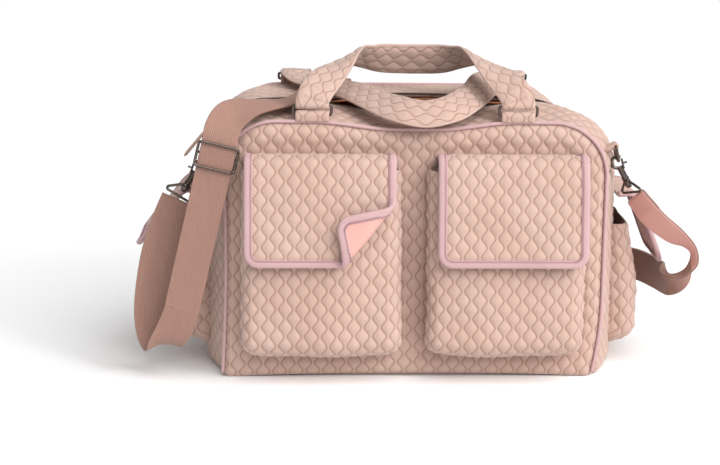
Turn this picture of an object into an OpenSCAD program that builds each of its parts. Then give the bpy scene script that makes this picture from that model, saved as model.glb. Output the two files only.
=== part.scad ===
// Quilted diaper bag: a soft duffel with a zipped mouth, two flapped front pockets, two flapped
// end pockets, two carry handles on rectangular rings and a clip-on webbing shoulder strap.
// Millimetres. +X is the wearer's right in a front view, +Y points to the back, +Z is up.
// The origin is the centre of the base, on the surface the bag stands on.

/* [Body] */
// Width of the front and back panels
panel_w = 416; // [404:2:428]
// Depth of the bag between the faces of the two panels
body_d = 200; // [196:1:204]
// Height of the front panel
front_h = 284; // [280:1:286]
// Height of the back panel
back_h = 298; // [296:1:300]
// Thickness of the padded walls
wall_t = 4; // [3:0.5:5]
// Radius of the panels' top corners
corner_r = 58; // [50:1:62]

/* [Mouth] */
// Length of the open zip mouth from end to end
mouth_l = 400; // [360:5:410]
// Width of the open mouth at its middle
mouth_w = 84; // [40:2:90]
// How far the mouth's middle lies in front of the bag's middle
mouth_shift = 20; // [10:1:25]

/* [Front pockets] */
// Width of each front pocket
pocket_w = 172; // [150:2:174]
// Height of each front pocket
pocket_h = 204; // [180:2:206]
// Distance of each pocket's middle from the bag's middle
pocket_x = 101; // [98:1:104]
// Width of the pocket flaps
flap_w = 162; // [150:2:164]
// Drop of the pocket flaps
flap_h = 116; // [90:2:120]
// Width of the binding tape along the flap edges
binding_w = 8; // [6:1:10]

/* [End pockets] */
// Width of each end pocket from front to back
end_pocket_w = 110; // [100:2:130]
// Height of each end pocket
end_pocket_h = 138; // [110:2:140]
// How far the left end flap is lifted away from its closed position, in degrees
left_lift = 32; // [20:1:36]
// How far the right end flap is lifted away from its closed position, in degrees
right_lift = 14; // [12:1:30]

/* [Handles] */
// Width of the handle bands
handle_w = 36; // [32:1:37]
// Thickness of the handle bands
handle_t = 5; // [4:0.5:5]
// Distance between the front handle's two rings
handle_span = 222; // [218:1:226]

/* [Hardware] */
// Diameter of the wire of the rings and loops
wire_d = 3; // [2.6:0.2:3.2]
// Width of the shoulder strap's webbing
strap_w = 38; // [36:1:38]
// Thickness of the doubled shoulder strap
strap_t = 3; // [2:0.5:3]

/* [Hidden] */
$fn = 32;
wire_r = wire_d / 2;
pin_gap = 0.08;
panel_t = 5;
half_d = body_d / 2;
seam_y = half_d - panel_t - 0.2;
mouth_r = (mouth_l * mouth_l / 4 + mouth_w * mouth_w / 4) / mouth_w;

// Cross-sections of the padded shell from front to back: y, half-width, height, top corner radius
shell_sections = [
  [-seam_y, panel_w / 2, front_h, corner_r],
  [-45, panel_w / 2 + 18, front_h + 11, corner_r + 8],
  [20, panel_w / 2 + 24, front_h + 17, corner_r + 12],
  [70, panel_w / 2 + 16, back_h + 3, corner_r + 8],
  [seam_y, panel_w / 2, back_h, corner_r]
];
seam_z = front_h - corner_r - 2;

front_ring_y = -97;
front_ring_z = 292.5;
back_ring_y = 86;
back_ring_z = 307;
back_ring_tilt = 45;
back_ring_x = [-131, 118];
ring_rise = 11;

flap_top_z = 251;
flap_bottom_z = flap_top_z - flap_h;
end_hinge_x = 237;
end_hinge_z = 197;

// Front handle, left half, from the ring to the middle: centre of the band and its side direction
front_handle_half = [
  [[-111, -97, 306], [1, 0, 0]],
  [[-109, -95, 313], [1, 0, -0.1]],
  [[-103, -88, 322], [0.97, 0, -0.2]],
  [[-94, -74, 331], [0.98, -0.1, -0.15]],
  [[-83, -53, 340], [0.85, -0.5, 0.05]],
  [[-73, -31, 346], [0.5, -0.75, 0.3]],
  [[-63, -10, 347], [0.4, -0.7, 0.6]],
  [[-50, 4, 344], [0.33, -0.55, 0.75]],
  [[-33, 11, 341], [0.2, -0.35, 0.92]],
  [[-14, 14, 340], [0.05, -0.33, 0.95]]
];

// Back handle, from its left ring to its right ring: centre of the band and its side direction
back_handle_path = [
  [[-131, 75, 316], [-1, 0, 0]],
  [[-127, 50, 316], [-0.98, -0.2, 0]],
  [[-118, 28, 314], [-0.85, -0.5, -0.1]],
  [[-101, 6, 313], [-0.65, -0.7, -0.15]],
  [[-83, -16, 312], [-0.5, -0.8, -0.25]],
  [[-63, -44, 310], [-0.45, -0.8, -0.35]],
  [[-41, -77, 305], [-0.35, -0.8, -0.4]],
  [[-16, -102, 300], [-0.2, -0.75, -0.62]],
  [[10, -108, 296], [0, -0.72, -0.69]],
  [[35, -102, 300], [0.2, -0.75, -0.62]],
  [[55, -79, 306], [0.3, -0.8, -0.45]],
  [[71, -47, 312], [0.5, -0.75, -0.35]],
  [[82, -10, 318], [0.7, -0.65, -0.3]],
  [[94, 24, 319], [0.87, -0.45, -0.2]],
  [[108, 54, 317], [0.97, -0.2, 0]],
  [[118, 75, 316], [1, 0, 0]]
];

// Shoulder strap, from the left hook's loop to the right hook's loop: centre and side direction
strap_path = [
  [[-257, -74, 195], [0.87, 0, -0.5]],
  [[-266, -82, 174], [1, 0, -0.3]],
  [[-277, -86, 142], [1, 0, -0.2]],
  [[-284, -89, 106], [1, 0, -0.1]],
  [[-287, -92, 73], [1, 0, 0]],
  [[-284, -96, 50], [1, 0, 0.1]],
  [[-276, -105, 40.5], [1, 0, 0.1]],
  [[-265, -117, 51], [1, 0, -0.1]],
  [[-252.3, -122, 79.4], [1, 0, -0.234]],
  [[-247, -122, 102], [1, 0, -0.234]],
  [[-217, -122, 230], [1, 0, -0.234]],
  [[-209.5, -122, 262], [1, 0, -0.234]],
  [[-206, -116, 280], [0.95, 0, -0.3]],
  [[-198, -107, 292], [0.9, -0.15, -0.4]],
  [[-182, -95, 299.5], [0.8, -0.5, -0.3]],
  [[-158, -78, 301], [0.68, -0.72, -0.1]],
  [[-134, -54, 300.5], [0.78, -0.62, 0]],
  [[-118, -24, 301], [0.93, -0.35, 0]],
  [[-110, 8, 303], [0.98, -0.2, 0]],
  [[-101, 42, 304.5], [0.98, -0.18, 0]],
  [[-91, 75, 305], [0.98, -0.15, 0]],
  [[-86, 97, 304.8], [1, 0, 0]],
  [[-85, 109, 297], [1, 0, 0]],
  [[-84, 113, 274], [1, 0, 0.05]],
  [[-76, 113, 224], [0.95, 0, 0.3]],
  [[-55, 113, 176], [0.85, 0, 0.5]],
  [[-15, 114, 138], [0.6, 0, 0.8]],
  [[40, 114, 110], [0.3, 0, 0.95]],
  [[100, 114, 94], [0.1, 0, 1]],
  [[160, 114, 87], [0, 0, 1]],
  [[215, 112, 86], [0, 0, 1]],
  [[250, 102, 86], [0, 0, 1]],
  [[277, 75, 87], [0, 0, 1]],
  [[290, 35, 88], [0, 0, 1]],
  [[294, -5, 91], [-0.05, -0.15, 1]],
  [[294, -38, 97], [-0.15, -0.5, 0.85]],
  [[298, -62, 107], [-0.2, -0.85, 0.5]],
  [[307, -77, 119], [-0.1, -1, 0.15]],
  [[312, -84, 133], [0, -1, 0]],
  [[306, -86, 146], [0.15, -0.95, 0.2]],
  [[290, -86, 158], [0.35, -0.8, 0.4]],
  [[268, -83, 175], [0.4, -0.77, 0.45]],
  [[254, -77, 191], [0.42, -0.85, 0.35]],
  [[246, -73, 201], [0.44, -0.87, 0.235]]
];
strap_steps = 2;

// Straight stretch of the strap on which the slider runs, and its tilt in the front view
slider_at = [-212.1, -122, 251];
slider_tilt = atan2(30, 128);

// Hooks: middle of the bow, and the tilt of the hook's stem in the front view
left_bow = [-236, -72, 230];
left_tilt = 32;
right_loop_turn = -60;
right_bow = [225, -72, 238];
right_tilt = -28;
bow_r = 6.5;
bow_wire_r = 1.9;
stem_r = 1.6;

quilt = [0.91, 0.80, 0.74];
pink = [0.83, 0.65, 0.70];
coral = [0.93, 0.66, 0.63];
metal = [0.24, 0.2, 0.2];
webbing = [0.72, 0.55, 0.49];
tan_lining = [0.75, 0.45, 0.28];

// A rectangle in the XZ plane, standing on z = 0, with rounded corners, and t thick along -Y
module upright(w, h, t, r_top, r_low) {
  rotate([90, 0, 0])
    linear_extrude(t)
      rounded(w, h, r_top, r_low);
}

module rounded(w, h, r_top, r_low) {
  translate([-w / 2, r_low])
    square([w, h - r_top - r_low]);
  translate([-w / 2 + r_top, h - r_top - 0.01])
    square([w - 2 * r_top, r_top + 0.01]);
  translate([-w / 2 + r_low, 0])
    square([w - 2 * r_low, r_low + 0.01]);
  for (s = [-1, 1]) {
    translate([s * (w / 2 - r_top), h - r_top])
      circle(r_top, $fn = 48);
    translate([s * (w / 2 - r_low), r_low])
      circle(r_low, $fn = 48);
  }
}

// The padded shell's envelope, pulled in by inset
module envelope(inset) {
  hull()
    for (s = shell_sections)
      translate([0, s[0] * (inset == 0 ? 1 : 1.04), inset])
        upright(2 * (s[1] - inset), s[2] - 2 * inset, 0.02, s[3] - inset, 14);
}

module mouth_prism(extra) {
  translate([0, -mouth_shift, 240])
    linear_extrude(80)
      intersection_for(s = [-1, 1])
        translate([0, s * (mouth_r - mouth_w / 2)])
          circle(mouth_r + extra, $fn = 96);
}

module shell_part(low, high) {
  intersection() {
    difference() {
      envelope(0);
      envelope(wall_t);
    }
    translate(low)
      cube(high - low);
  }
}

// A flat band swept through [centre, side direction] stations, smoothed by curves through them
function unit(v) = v / norm(v);
function curve(a, b, c, d, t) = 0.5 * (2 * b + (c - a) * t + (2 * a - 5 * b + 4 * c - d) * t * t
  + (3 * b - a - 3 * c + d) * t * t * t);
function pick(path, i) = path[max(0, min(len(path) - 1, i))];
function smooth(path, steps) = [
  for (i = [0:len(path) - 2])
    for (k = [0:steps - 1])
      [for (j = [0, 1])
        curve(pick(path, i - 1)[j], path[i][j], path[i + 1][j], pick(path, i + 2)[j], k / steps)],
  path[len(path) - 1]
];
function heading(rings, i) =
  unit(pick(rings, i + 1)[0] - pick(rings, i - 1)[0]);

module band(path, w, t, steps) {
  rings = smooth(path, steps);
  n = len(rings);
  points = [
    for (i = [0:n - 1])
      let (
        go = heading(rings, i),
        side = unit(rings[i][1] - go * (rings[i][1] * go)),
        out = cross(go, side)
      )
      for (c = [[-1, -1], [1, -1], [1, 1], [-1, 1]])
        rings[i][0] + side * (c[0] * w / 2) + out * (c[1] * t / 2)
  ];
  sides = [
    for (i = [0:n - 2])
      for (k = [0:3])
        for (f = [[0, 1, 5], [0, 5, 4]])
          [for (v = f)
            4 * i + (v < 4 ? (k + v) % 4 : 4 + (k + v - 4) % 4)]
  ];
  last = 4 * (n - 1);
  ends = [[2, 1, 0], [3, 2, 0], [last, last + 1, last + 2], [last, last + 2, last + 3]];
  polyhedron(points, [for (f = concat(sides, ends)) [f[2], f[1], f[0]]], convexity = 8);
}

// A wire frame of four bars in the XY plane, w by h over the bars' middles
module wire_frame(w, h, r) {
  for (s = [-1, 1]) {
    translate([-w / 2, s * h / 2, 0])
      rotate([0, 90, 0])
        cylinder(r = r, h = w);
    translate([s * w / 2, -h / 2, 0])
      rotate([-90, 0, 0])
        cylinder(r = r, h = h);
    for (u = [-1, 1])
      translate([s * w / 2, u * h / 2, 0])
        sphere(r);
  }
}

module front_panel() {
  color(quilt)
    translate([0, -half_d + panel_t, 0])
      upright(panel_w, front_h, panel_t, corner_r, 8);
}

module back_panel() {
  color(quilt)
    translate([0, half_d, 0])
      upright(panel_w, back_h, panel_t, corner_r, 8);
}

module left_gusset() {
  color(quilt)
    shell_part([-panel_w, -seam_y, 0], [-panel_w / 2 + 20, seam_y, seam_z]);
}

module right_gusset() {
  color(quilt)
    shell_part([panel_w / 2 - 20, -seam_y, 0], [panel_w, seam_y, seam_z]);
}

module top_gusset_front() {
  color(quilt)
    difference() {
      shell_part([-panel_w, -seam_y, seam_z + 0.2], [panel_w, -mouth_shift - 0.1, 400]);
      mouth_prism(0);
    }
}

module top_gusset_back() {
  color(quilt)
    difference() {
      shell_part([-panel_w, -mouth_shift + 0.1, seam_z + 0.2], [panel_w, seam_y, 400]);
      mouth_prism(0);
    }
}

module base_panel() {
  color(quilt)
    shell_part([-panel_w / 2 + 20.2, -seam_y, 0], [panel_w / 2 - 20.2, seam_y, 20]);
}

module base_board() {
  color("dimgray")
    translate([-180, -half_d + 12, wall_t + 1.6])
      cube([360, body_d - 24, 3]);
}

module lining() {
  color(tan_lining)
    difference() {
      intersection() {
        envelope(wall_t + 0.2);
        translate([-panel_w, -seam_y + 0.2, 0])
          cube([2 * panel_w, 2 * seam_y - 0.4, 400]);
      }
      intersection() {
        envelope(wall_t + 1.2);
        translate([-panel_w, -seam_y + 1.2, 0])
          cube([2 * panel_w, 2 * seam_y - 2.4, 400]);
      }
      mouth_prism(4);
    }
}

// Piping along both sides and the top of a panel, h tall
module piping(h) {
  difference() {
    upright(panel_w + 7, h + 3.5, 3.4, corner_r + 3.5, 8);
    translate([0, 1, 0])
      upright(panel_w + 0.2, h + 0.1, 6, corner_r, 8);
    translate([-panel_w, -10, -1])
      cube([2 * panel_w, 20, 9]);
  }
}

module front_piping() {
  color(pink)
    translate([0, -half_d + 3.6, 0])
      piping(front_h);
}

module back_piping() {
  color(pink)
    translate([0, half_d - 0.2, 0])
      piping(back_h);
}

// One side of the open zip: a tape and its teeth along the mouth's lip
module zip_side(low_y, high_y) {
  intersection() {
    difference() {
      translate([0, 0, 1.2])
        envelope(0);
      translate([0, 0, 0.1])
        envelope(0);
      mouth_prism(-1);
    }
    mouth_prism(6);
    translate([-panel_w, low_y, seam_z + 1])
      cube([2 * panel_w, high_y - low_y, 200]);
  }
}

module zip_tape_front() {
  color("tan")
    zip_side(-half_d, -mouth_shift - 0.3);
}

module zip_tape_back() {
  color("tan")
    zip_side(-mouth_shift + 0.3, half_d);
}

// The zip slider rides on the left shoulder of the bag, at slider_turn round the corner's arc
shoulder_x = -panel_w / 2 - 22 + corner_r + 11;
shoulder_z = front_h + 15 - corner_r - 11;
slider_turn = 60;
slider_reach = corner_r + 11 + 2.3;

module at_zip_slider() {
  translate([shoulder_x, -mouth_shift, shoulder_z])
    rotate([0, -slider_turn, 0])
      translate([0, 0, slider_reach])
        children();
}

module zip_slider() {
  color(metal)
    at_zip_slider() {
      translate([-6, -4.5, -1.5])
        cube([12, 9, 3]);
      difference() {
        translate([-3.5, -1.2, 1.4])
          cube([7, 2.4, 5]);
        translate([0, 5, 3.9])
          rotate([90, 0, 0])
            cylinder(r = 1.2, h = 10);
      }
    }
}

// Pull: a wire eye through the slider's bail and a folded leather-soft tab
module zip_pull() {
  color(quilt)
    at_zip_slider()
      translate([0, 0, 3.9])
        rotate([0, -170, 0]) {
          translate([0, 5, 0])
            rotate([90, 0, 0])
              cylinder(r = 1.2 - pin_gap, h = 10);
          for (s = [-1, 1])
            translate([0, s * 4 - 1, -1])
              cube([12, 2, 2]);
          translate([10, -5, -1.5])
            cube([34, 10, 3]);
        }
}

// Side outline of a bellows pocket: shallow at the top and deep at the bottom
module pocket_profile(inset, deep, shallow) {
  polygon([
    [-2, inset],
    [deep - 8 - inset, inset],
    [deep - inset, inset + 8],
    [deep - inset, 80],
    [shallow - inset, pocket_h + inset],
    [-2, pocket_h + inset]
  ]);
}

module pocket(x) {
  translate([x, -half_d - 0.2, 30])
    difference() {
      pocket_solid(0);
      pocket_solid(3);
      translate([-200, 0, -1])
        cube([400, 10, 300]);
    }
}

module pocket_solid(inset) {
  intersection() {
    translate([-pocket_w, 0, 0])
      rotate([90, 0, 90])
        linear_extrude(2 * pocket_w)
          mirror([1, 0])
            pocket_profile(inset, 40, 24);
    translate([0, 4, inset])
      upright(pocket_w - 2 * inset, pocket_h + 4, 80, 8, 20);
  }
}

module pocket_left() {
  color(quilt)
    pocket(-pocket_x);
}

module pocket_right() {
  color(quilt)
    pocket(pocket_x - 2);
}

// Side outline of a front flap, from the hinge line over the pocket's top and down its face
module flap_profile(fat) {
  polygon([
    [-103.8, flap_top_z + fat],
    [-117, flap_top_z + 3 + fat],
    [-129 - fat, 249 + fat],
    [-133 - fat, 240],
    [-150 - fat, flap_bottom_z],
    [-145 + fat, flap_bottom_z],
    [-128 + fat, 238],
    [-125 + fat, 244 - fat],
    [-116, 248.5 - fat],
    [-103.8, 246 - fat]
  ]);
}

module flap_solid(x, w, fat) {
  translate([x - w / 2, 0, 0])
    rotate([90, 0, 90])
      linear_extrude(w)
        flap_profile(fat);
}

// Window in the XZ plane that leaves the flap's cloth inside its binding tape
module flap_window(x, inset) {
  translate([x, -80, flap_bottom_z + inset])
    upright(flap_w - 2 * inset, 160, 90, 1, max(16 - inset, 6));
}

// The turned-up corner's fold line runs from the flap's free side to its bottom edge
fold_side_z = 200;
fold_low_x = -74;
fold_lift = 6.2;

module fold_cut(x) {
  rotate([90, 0, 0])
    linear_extrude(200)
      polygon([
        [x + flap_w / 2 + 2, fold_side_z],
        [fold_low_x, flap_bottom_z - 2],
        [x + flap_w / 2 + 2, flap_bottom_z - 2]
      ]);
}

module flap_left() {
  x = -pocket_x - 1;
  color(quilt)
    intersection() {
      difference() {
        flap_solid(x, flap_w, 0);
        fold_cut(x);
      }
      flap_window(x, binding_w);
    }
}

module flap_right() {
  x = pocket_x + 4;
  color(quilt)
    intersection() {
      flap_solid(x, flap_w, 0);
      flap_window(x, binding_w);
    }
}

module binding(x) {
  difference() {
    intersection() {
      flap_solid(x, flap_w, 0.8);
      flap_window(x, 0);
    }
    flap_window(x, binding_w - 0.1);
  }
}

module flap_left_binding() {
  x = -pocket_x - 1;
  color(pink)
    difference() {
      binding(x);
      fold_cut(x);
    }
  color(coral)
    intersection() {
      translate([0, -139, 0])
        rotate([90, 0, 0])
          linear_extrude(18)
            polygon([
              [x + flap_w / 2 - 1, fold_side_z + 1],
              [-84, 184],
              [-82, 168],
              [fold_low_x + 1, flap_bottom_z + 1]
            ]);
      translate([0, -fold_lift, 0])
        flap_solid(x, flap_w, 0);
    }
}

module flap_right_binding() {
  color(pink)
    binding(pocket_x + 4);
}

// End pocket on the +X end; the left one is its mirror image
module end_pocket() {
  difference() {
    end_pocket_solid(0);
    end_pocket_solid(3);
    translate([0, 0, -1])
      envelope(-0.3);
  }
}

module end_pocket_solid(inset) {
  intersection() {
    rotate([90, 0, 0])
      translate([0, 0, -200])
        linear_extrude(400)
          polygon([
            [205, 24 + inset],
            [246 - inset, 24 + inset],
            [258 - inset, 40 + inset],
            [258 - inset, 100],
            [244 - inset, 24 + end_pocket_h + inset],
            [205, 24 + end_pocket_h + inset]
          ]);
    translate([180, 0, 24 + inset])
      rotate([90, 0, 90])
        linear_extrude(200)
          rounded(end_pocket_w - 2 * inset, end_pocket_h + 2, 6, 18);
  }
}

module pocket_end_left() {
  color(quilt)
    mirror([1, 0, 0])
      end_pocket();
}

module pocket_end_right() {
  color(quilt)
    end_pocket();
}

// End flap, drawn closed about its hinge line on the +X end
module end_flap_solid(fat) {
  rotate([90, 0, 0])
    translate([0, 0, -100])
      linear_extrude(200)
        polygon([
          [0, 2.5 + fat],
          [12, -1 + fat],
          [18 + fat, -8 + fat],
          [29 + fat, -90],
          [24 - fat, -90],
          [13 - fat, -10 - fat],
          [9, -5 - fat],
          [0, -2.5 - fat]
        ]);
}

module end_flap_window(inset) {
  translate([-20, 0, -90 + inset])
    rotate([90, 0, 90])
      linear_extrude(80)
        rounded(end_pocket_w - 8 - 2 * inset, 110, 1, max(18 - inset, 6));
}

module end_flap_cloth() {
  intersection() {
    end_flap_solid(0);
    end_flap_window(binding_w);
  }
}

module end_flap_binding() {
  difference() {
    intersection() {
      end_flap_solid(0.8);
      end_flap_window(0);
    }
    end_flap_window(binding_w - 0.1);
  }
}

module at_right_end_hinge() {
  translate([end_hinge_x, 0, end_hinge_z])
    rotate([0, -right_lift, 0])
      children();
}

module at_left_end_hinge() {
  mirror([1, 0, 0])
    translate([end_hinge_x, 0, end_hinge_z])
      rotate([0, -left_lift, 0])
        children();
}

module flap_end_left() {
  color(quilt)
    at_left_end_hinge()
      end_flap_cloth();
}

module flap_end_right() {
  color(quilt)
    at_right_end_hinge()
      end_flap_cloth();
}

module flap_end_left_binding() {
  color(pink)
    at_left_end_hinge()
      end_flap_binding();
}

module flap_end_right_binding() {
  color(pink)
    at_right_end_hinge()
      end_flap_binding();
}

// A rectangular ring whose lower bar is the hinge pin, standing up from it
module handle_ring() {
  translate([0, 0, ring_rise / 2])
    rotate([90, 0, 0])
      wire_frame(41, ring_rise, wire_r);
}

// The folded band end that wraps round the ring's upper bar
module handle_cuff() {
  translate([-handle_w / 2, 0, ring_rise])
    rotate([0, 90, 0])
      cylinder(r = 4.6, h = handle_w);
}

// Room for the ring's upper bar and its two corners
module bar_hole() {
  translate([-handle_w, 0, ring_rise])
    rotate([0, 90, 0])
      cylinder(r = wire_r + pin_gap, h = 2 * handle_w);
}

// The rolled cloth tab that holds the ring's lower bar, sewn down at the edge of the top
module handle_tab(drop) {
  translate([-handle_w / 2, 0, 0])
    difference() {
      union() {
        rotate([0, 90, 0])
          cylinder(r = 4.9, h = handle_w);
        translate([0, -2.5, -drop])
          cube([handle_w, 5, drop]);
      }
      translate([-1, 0, 0])
        rotate([0, 90, 0])
          cylinder(r = wire_r + pin_gap, h = handle_w + 2);
    }
}

module at_front_rings() {
  for (s = [-1, 1])
    translate([s * handle_span / 2, front_ring_y, front_ring_z])
      children();
}

module at_back_rings(tilt) {
  for (x = back_ring_x)
    translate([x, back_ring_y, back_ring_z])
      rotate([tilt, 0, 0])
        children();
}

module handle_front() {
  half = front_handle_half;
  right = [for (i = [len(half) - 1:-1:0])
    [[-half[i][0][0], half[i][0][1], half[i][0][2]],
     [-half[i][1][0], half[i][1][1], half[i][1][2]]]];
  color(quilt)
    difference() {
      union() {
        band(concat(half, right), handle_w, handle_t, 2);
        at_front_rings()
          handle_cuff();
      }
      at_front_rings()
        bar_hole();
    }
}

module handle_back() {
  color(quilt)
    difference() {
      union() {
        band(back_handle_path, handle_w, handle_t, 2);
        at_back_rings(back_ring_tilt)
          handle_cuff();
      }
      at_back_rings(back_ring_tilt)
        bar_hole();
    }
}

module tabs_front() {
  color(quilt)
    at_front_rings()
      handle_tab(4.8);
}

module tabs_back() {
  color(quilt)
    at_back_rings(0)
      handle_tab(7);
}

module rings_front() {
  color(metal)
    at_front_rings()
      handle_ring();
}

module rings_back() {
  color(metal)
    at_back_rings(back_ring_tilt)
      handle_ring();
}

// D ring: a bar along Y through the hook's bow and a bar held by the cloth tab above it
end_ring_w = 20;
end_ring_h = 17;

module end_ring() {
  translate([0, 0, end_ring_h / 2])
    rotate([90, 0, 90])
      wire_frame(end_ring_w, end_ring_h, wire_r);
}

// The D ring's lower bar lies in the top of the bow, and it leans back to the bag by lean
module at_end_ring(bow, lean) {
  translate([bow[0], bow[1], bow[2] + 2.6])
    rotate([0, lean, 0])
      children();
}

// Cloth loop round the D ring's upper bar; its tail runs to the bag at the angle turn
module ring_tab(turn, reach) {
  translate([0, 7, end_ring_h])
    rotate([90, 0, 0])
      difference() {
        union() {
          cylinder(r = 3.6, h = 14);
          rotate([0, 0, turn])
            translate([0, 1.8, 0])
              rotate([90, 0, 0])
                linear_extrude(3.6)
                  polygon([[2, 0.4], [reach - 2.4, 0.4], [reach + 2.4, 13.6], [2, 13.6]]);
        }
        translate([0, 0, -1])
          cylinder(r = wire_r + pin_gap, h = 16);
      }
}

left_lean = 20;
right_lean = -12;

module end_ring_left() {
  color(metal)
    at_end_ring(left_bow, left_lean)
      end_ring();
}

module end_ring_right() {
  color(metal)
    at_end_ring(right_bow, right_lean)
      end_ring();
}

module ring_tab_left() {
  color(quilt)
    at_end_ring(left_bow, left_lean)
      mirror([1, 0, 0])
        ring_tab(176, 16.7);
}

module ring_tab_right() {
  color(quilt)
    at_end_ring(right_bow, right_lean)
      ring_tab(192, 11.4);
}

// Snap hook drawn with its stem down -Z and its bow's middle at the origin
gate_hinge = [-3.6, -8.2];
gate_tip = [-6, 2];

module hook() {
  rotate([90, 0, 0])
    rotate([0, 0, -75])
      rotate_extrude(angle = 222)
        translate([bow_r, 0])
          circle(bow_wire_r);
  difference() {
    translate([0, 0, -19])
      cylinder(r = 3.4, h = 13.4);
    translate([gate_hinge[0] - 2.4, -1.7, gate_hinge[1] - 1.8])
      cube([5.2, 3.4, 6]);
  }
  translate([gate_hinge[0], 3.2, gate_hinge[1]])
    rotate([90, 0, 0])
      cylinder(r = 0.7, h = 6.4);
  translate([0, 0, -21])
    cylinder(r = 4, h = 2.2);
  translate([0, 0, -30.4])
    cylinder(r = stem_r, h = 10);
  translate([0, 0, -31.4])
    cylinder(r = 2.8, h = 1.5);
}

module gate() {
  reach = norm(gate_tip - gate_hinge);
  lean = atan2(gate_tip[0] - gate_hinge[0], gate_tip[1] - gate_hinge[1]);
  translate([gate_hinge[0], 0, gate_hinge[1]])
    rotate([0, lean, 0])
      difference() {
        union() {
          cylinder(r = 1.2, h = reach - 0.5);
          translate([0, 1.3, 0])
            rotate([90, 0, 0])
              cylinder(r = 1.4, h = 2.6);
          translate([-5, 0, 5])
            rotate([0, 90, 0])
              cylinder(r = 1.1, h = 5);
        }
        translate([0, 2, 0])
          rotate([90, 0, 0])
            cylinder(r = 0.7 + pin_gap, h = 4);
      }
}

// Eye and trapezoid wire loop that carry the strap's end, below the hook's collar
module strap_eye() {
  difference() {
    union() {
      translate([0, 0, -29.6])
        cylinder(r = 4.2, h = 8);
      translate([-4.5, -1.6, -29.6])
        cube([9, 3.2, 8]);
    }
    translate([0, 0, -40])
      cylinder(r = stem_r + pin_gap, h = 30);
  }
}

loop_half = 20;
loop_neck = 4;
loop_drop = 14;

// Two slanted sides, wider at the foot, down to a bar that the strap folds over
module loop_wires() {
  splay = atan2(loop_half - loop_neck, loop_drop);
  side = loop_drop / cos(splay);
  translate([-loop_half - 1, 0, -24 - loop_drop])
    rotate([0, 90, 0])
      cylinder(r = wire_r, h = 2 * loop_half + 2);
  for (s = [-1, 1])
    translate([s * loop_neck, 0, -24])
      rotate([0, 180 - s * splay, 0])
        cylinder(r = wire_r - 0.1, h = side);
}

module strap_loop() {
  strap_eye();
  loop_wires();
}

module at_left_hook() {
  translate(left_bow)
    rotate([0, left_tilt, 0])
      children();
}

module at_right_hook() {
  translate(right_bow)
    rotate([0, right_tilt, 0])
      children();
}

module hook_left() {
  color(metal)
    at_left_hook()
      hook();
}

module hook_right() {
  color(metal)
    at_right_hook()
      mirror([1, 0, 0])
        hook();
}

module gate_left() {
  color(metal)
    at_left_hook()
      gate();
}

module gate_right() {
  color(metal)
    at_right_hook()
      mirror([1, 0, 0])
        gate();
}

module strap_loop_left() {
  color(metal)
    at_left_hook()
      strap_loop();
}

module strap_loop_right() {
  color(metal)
    at_right_hook()
      rotate([0, 0, right_loop_turn])
        strap_loop();
}

module shoulder_strap() {
  color(webbing)
    band(strap_path, strap_w, strap_t, strap_steps);
}

// Slider: two rails past the strap's edges, two end bars in front of it and one bar behind it
module strap_slider() {
  rail_x = strap_w / 2 + wire_r + 1;
  bar_y = strap_t / 2 + wire_r + 1;
  color(metal)
    translate(slider_at)
      rotate([0, slider_tilt, 0])
        for (s = [-1, 1]) {
          translate([s * rail_x, 0, -13])
            cylinder(r = wire_r, h = 26);
          for (e = [-13, 13])
            translate([s * rail_x, 0, e]) {
              sphere(wire_r);
              rotate([90, 0, 0])
                cylinder(r = wire_r, h = bar_y);
              translate([0, -bar_y, 0])
                sphere(wire_r);
              translate([0, -bar_y, 0])
                rotate([0, -s * 90, 0])
                  cylinder(r = wire_r, h = rail_x);
            }
          translate([s * rail_x, 0, 0])
            rotate([-90, 0, 0])
              cylinder(r = wire_r, h = bar_y);
          translate([s * rail_x, bar_y, 0]) {
            sphere(wire_r);
            rotate([0, -s * 90, 0])
              cylinder(r = wire_r, h = rail_x);
          }
        }
}

front_panel();
back_panel();
left_gusset();
right_gusset();
top_gusset_front();
top_gusset_back();
base_panel();
base_board();
lining();
front_piping();
back_piping();
zip_tape_front();
zip_tape_back();
zip_slider();
zip_pull();
pocket_left();
pocket_right();
flap_left();
flap_right();
flap_left_binding();
flap_right_binding();
pocket_end_left();
pocket_end_right();
flap_end_left();
flap_end_right();
flap_end_left_binding();
flap_end_right_binding();
handle_front();
handle_back();
tabs_front();
tabs_back();
rings_front();
rings_back();
ring_tab_left();
ring_tab_right();
end_ring_left();
end_ring_right();
hook_left();
hook_right();
gate_left();
gate_right();
strap_loop_left();
strap_loop_right();
shoulder_strap();
strap_slider();
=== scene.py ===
import math

import bpy
import numpy as np
from mathutils import Matrix, Vector


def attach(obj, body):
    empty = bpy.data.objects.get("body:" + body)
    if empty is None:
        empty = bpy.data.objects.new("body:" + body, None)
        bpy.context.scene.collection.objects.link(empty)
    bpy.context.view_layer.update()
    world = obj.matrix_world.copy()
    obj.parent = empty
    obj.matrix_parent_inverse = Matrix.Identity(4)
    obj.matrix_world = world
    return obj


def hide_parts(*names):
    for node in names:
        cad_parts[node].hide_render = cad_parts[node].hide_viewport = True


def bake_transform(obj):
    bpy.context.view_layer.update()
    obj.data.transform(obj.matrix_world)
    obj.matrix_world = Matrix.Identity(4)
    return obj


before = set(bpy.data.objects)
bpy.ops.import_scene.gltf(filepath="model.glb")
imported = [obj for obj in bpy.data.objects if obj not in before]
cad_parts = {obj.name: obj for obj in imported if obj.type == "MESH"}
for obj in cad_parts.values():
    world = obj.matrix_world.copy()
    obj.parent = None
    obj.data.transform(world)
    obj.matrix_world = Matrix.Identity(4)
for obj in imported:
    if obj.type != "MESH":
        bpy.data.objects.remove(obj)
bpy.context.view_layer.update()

MM = 0.001
PI = math.pi
MESH_STEP = 1.6


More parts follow.
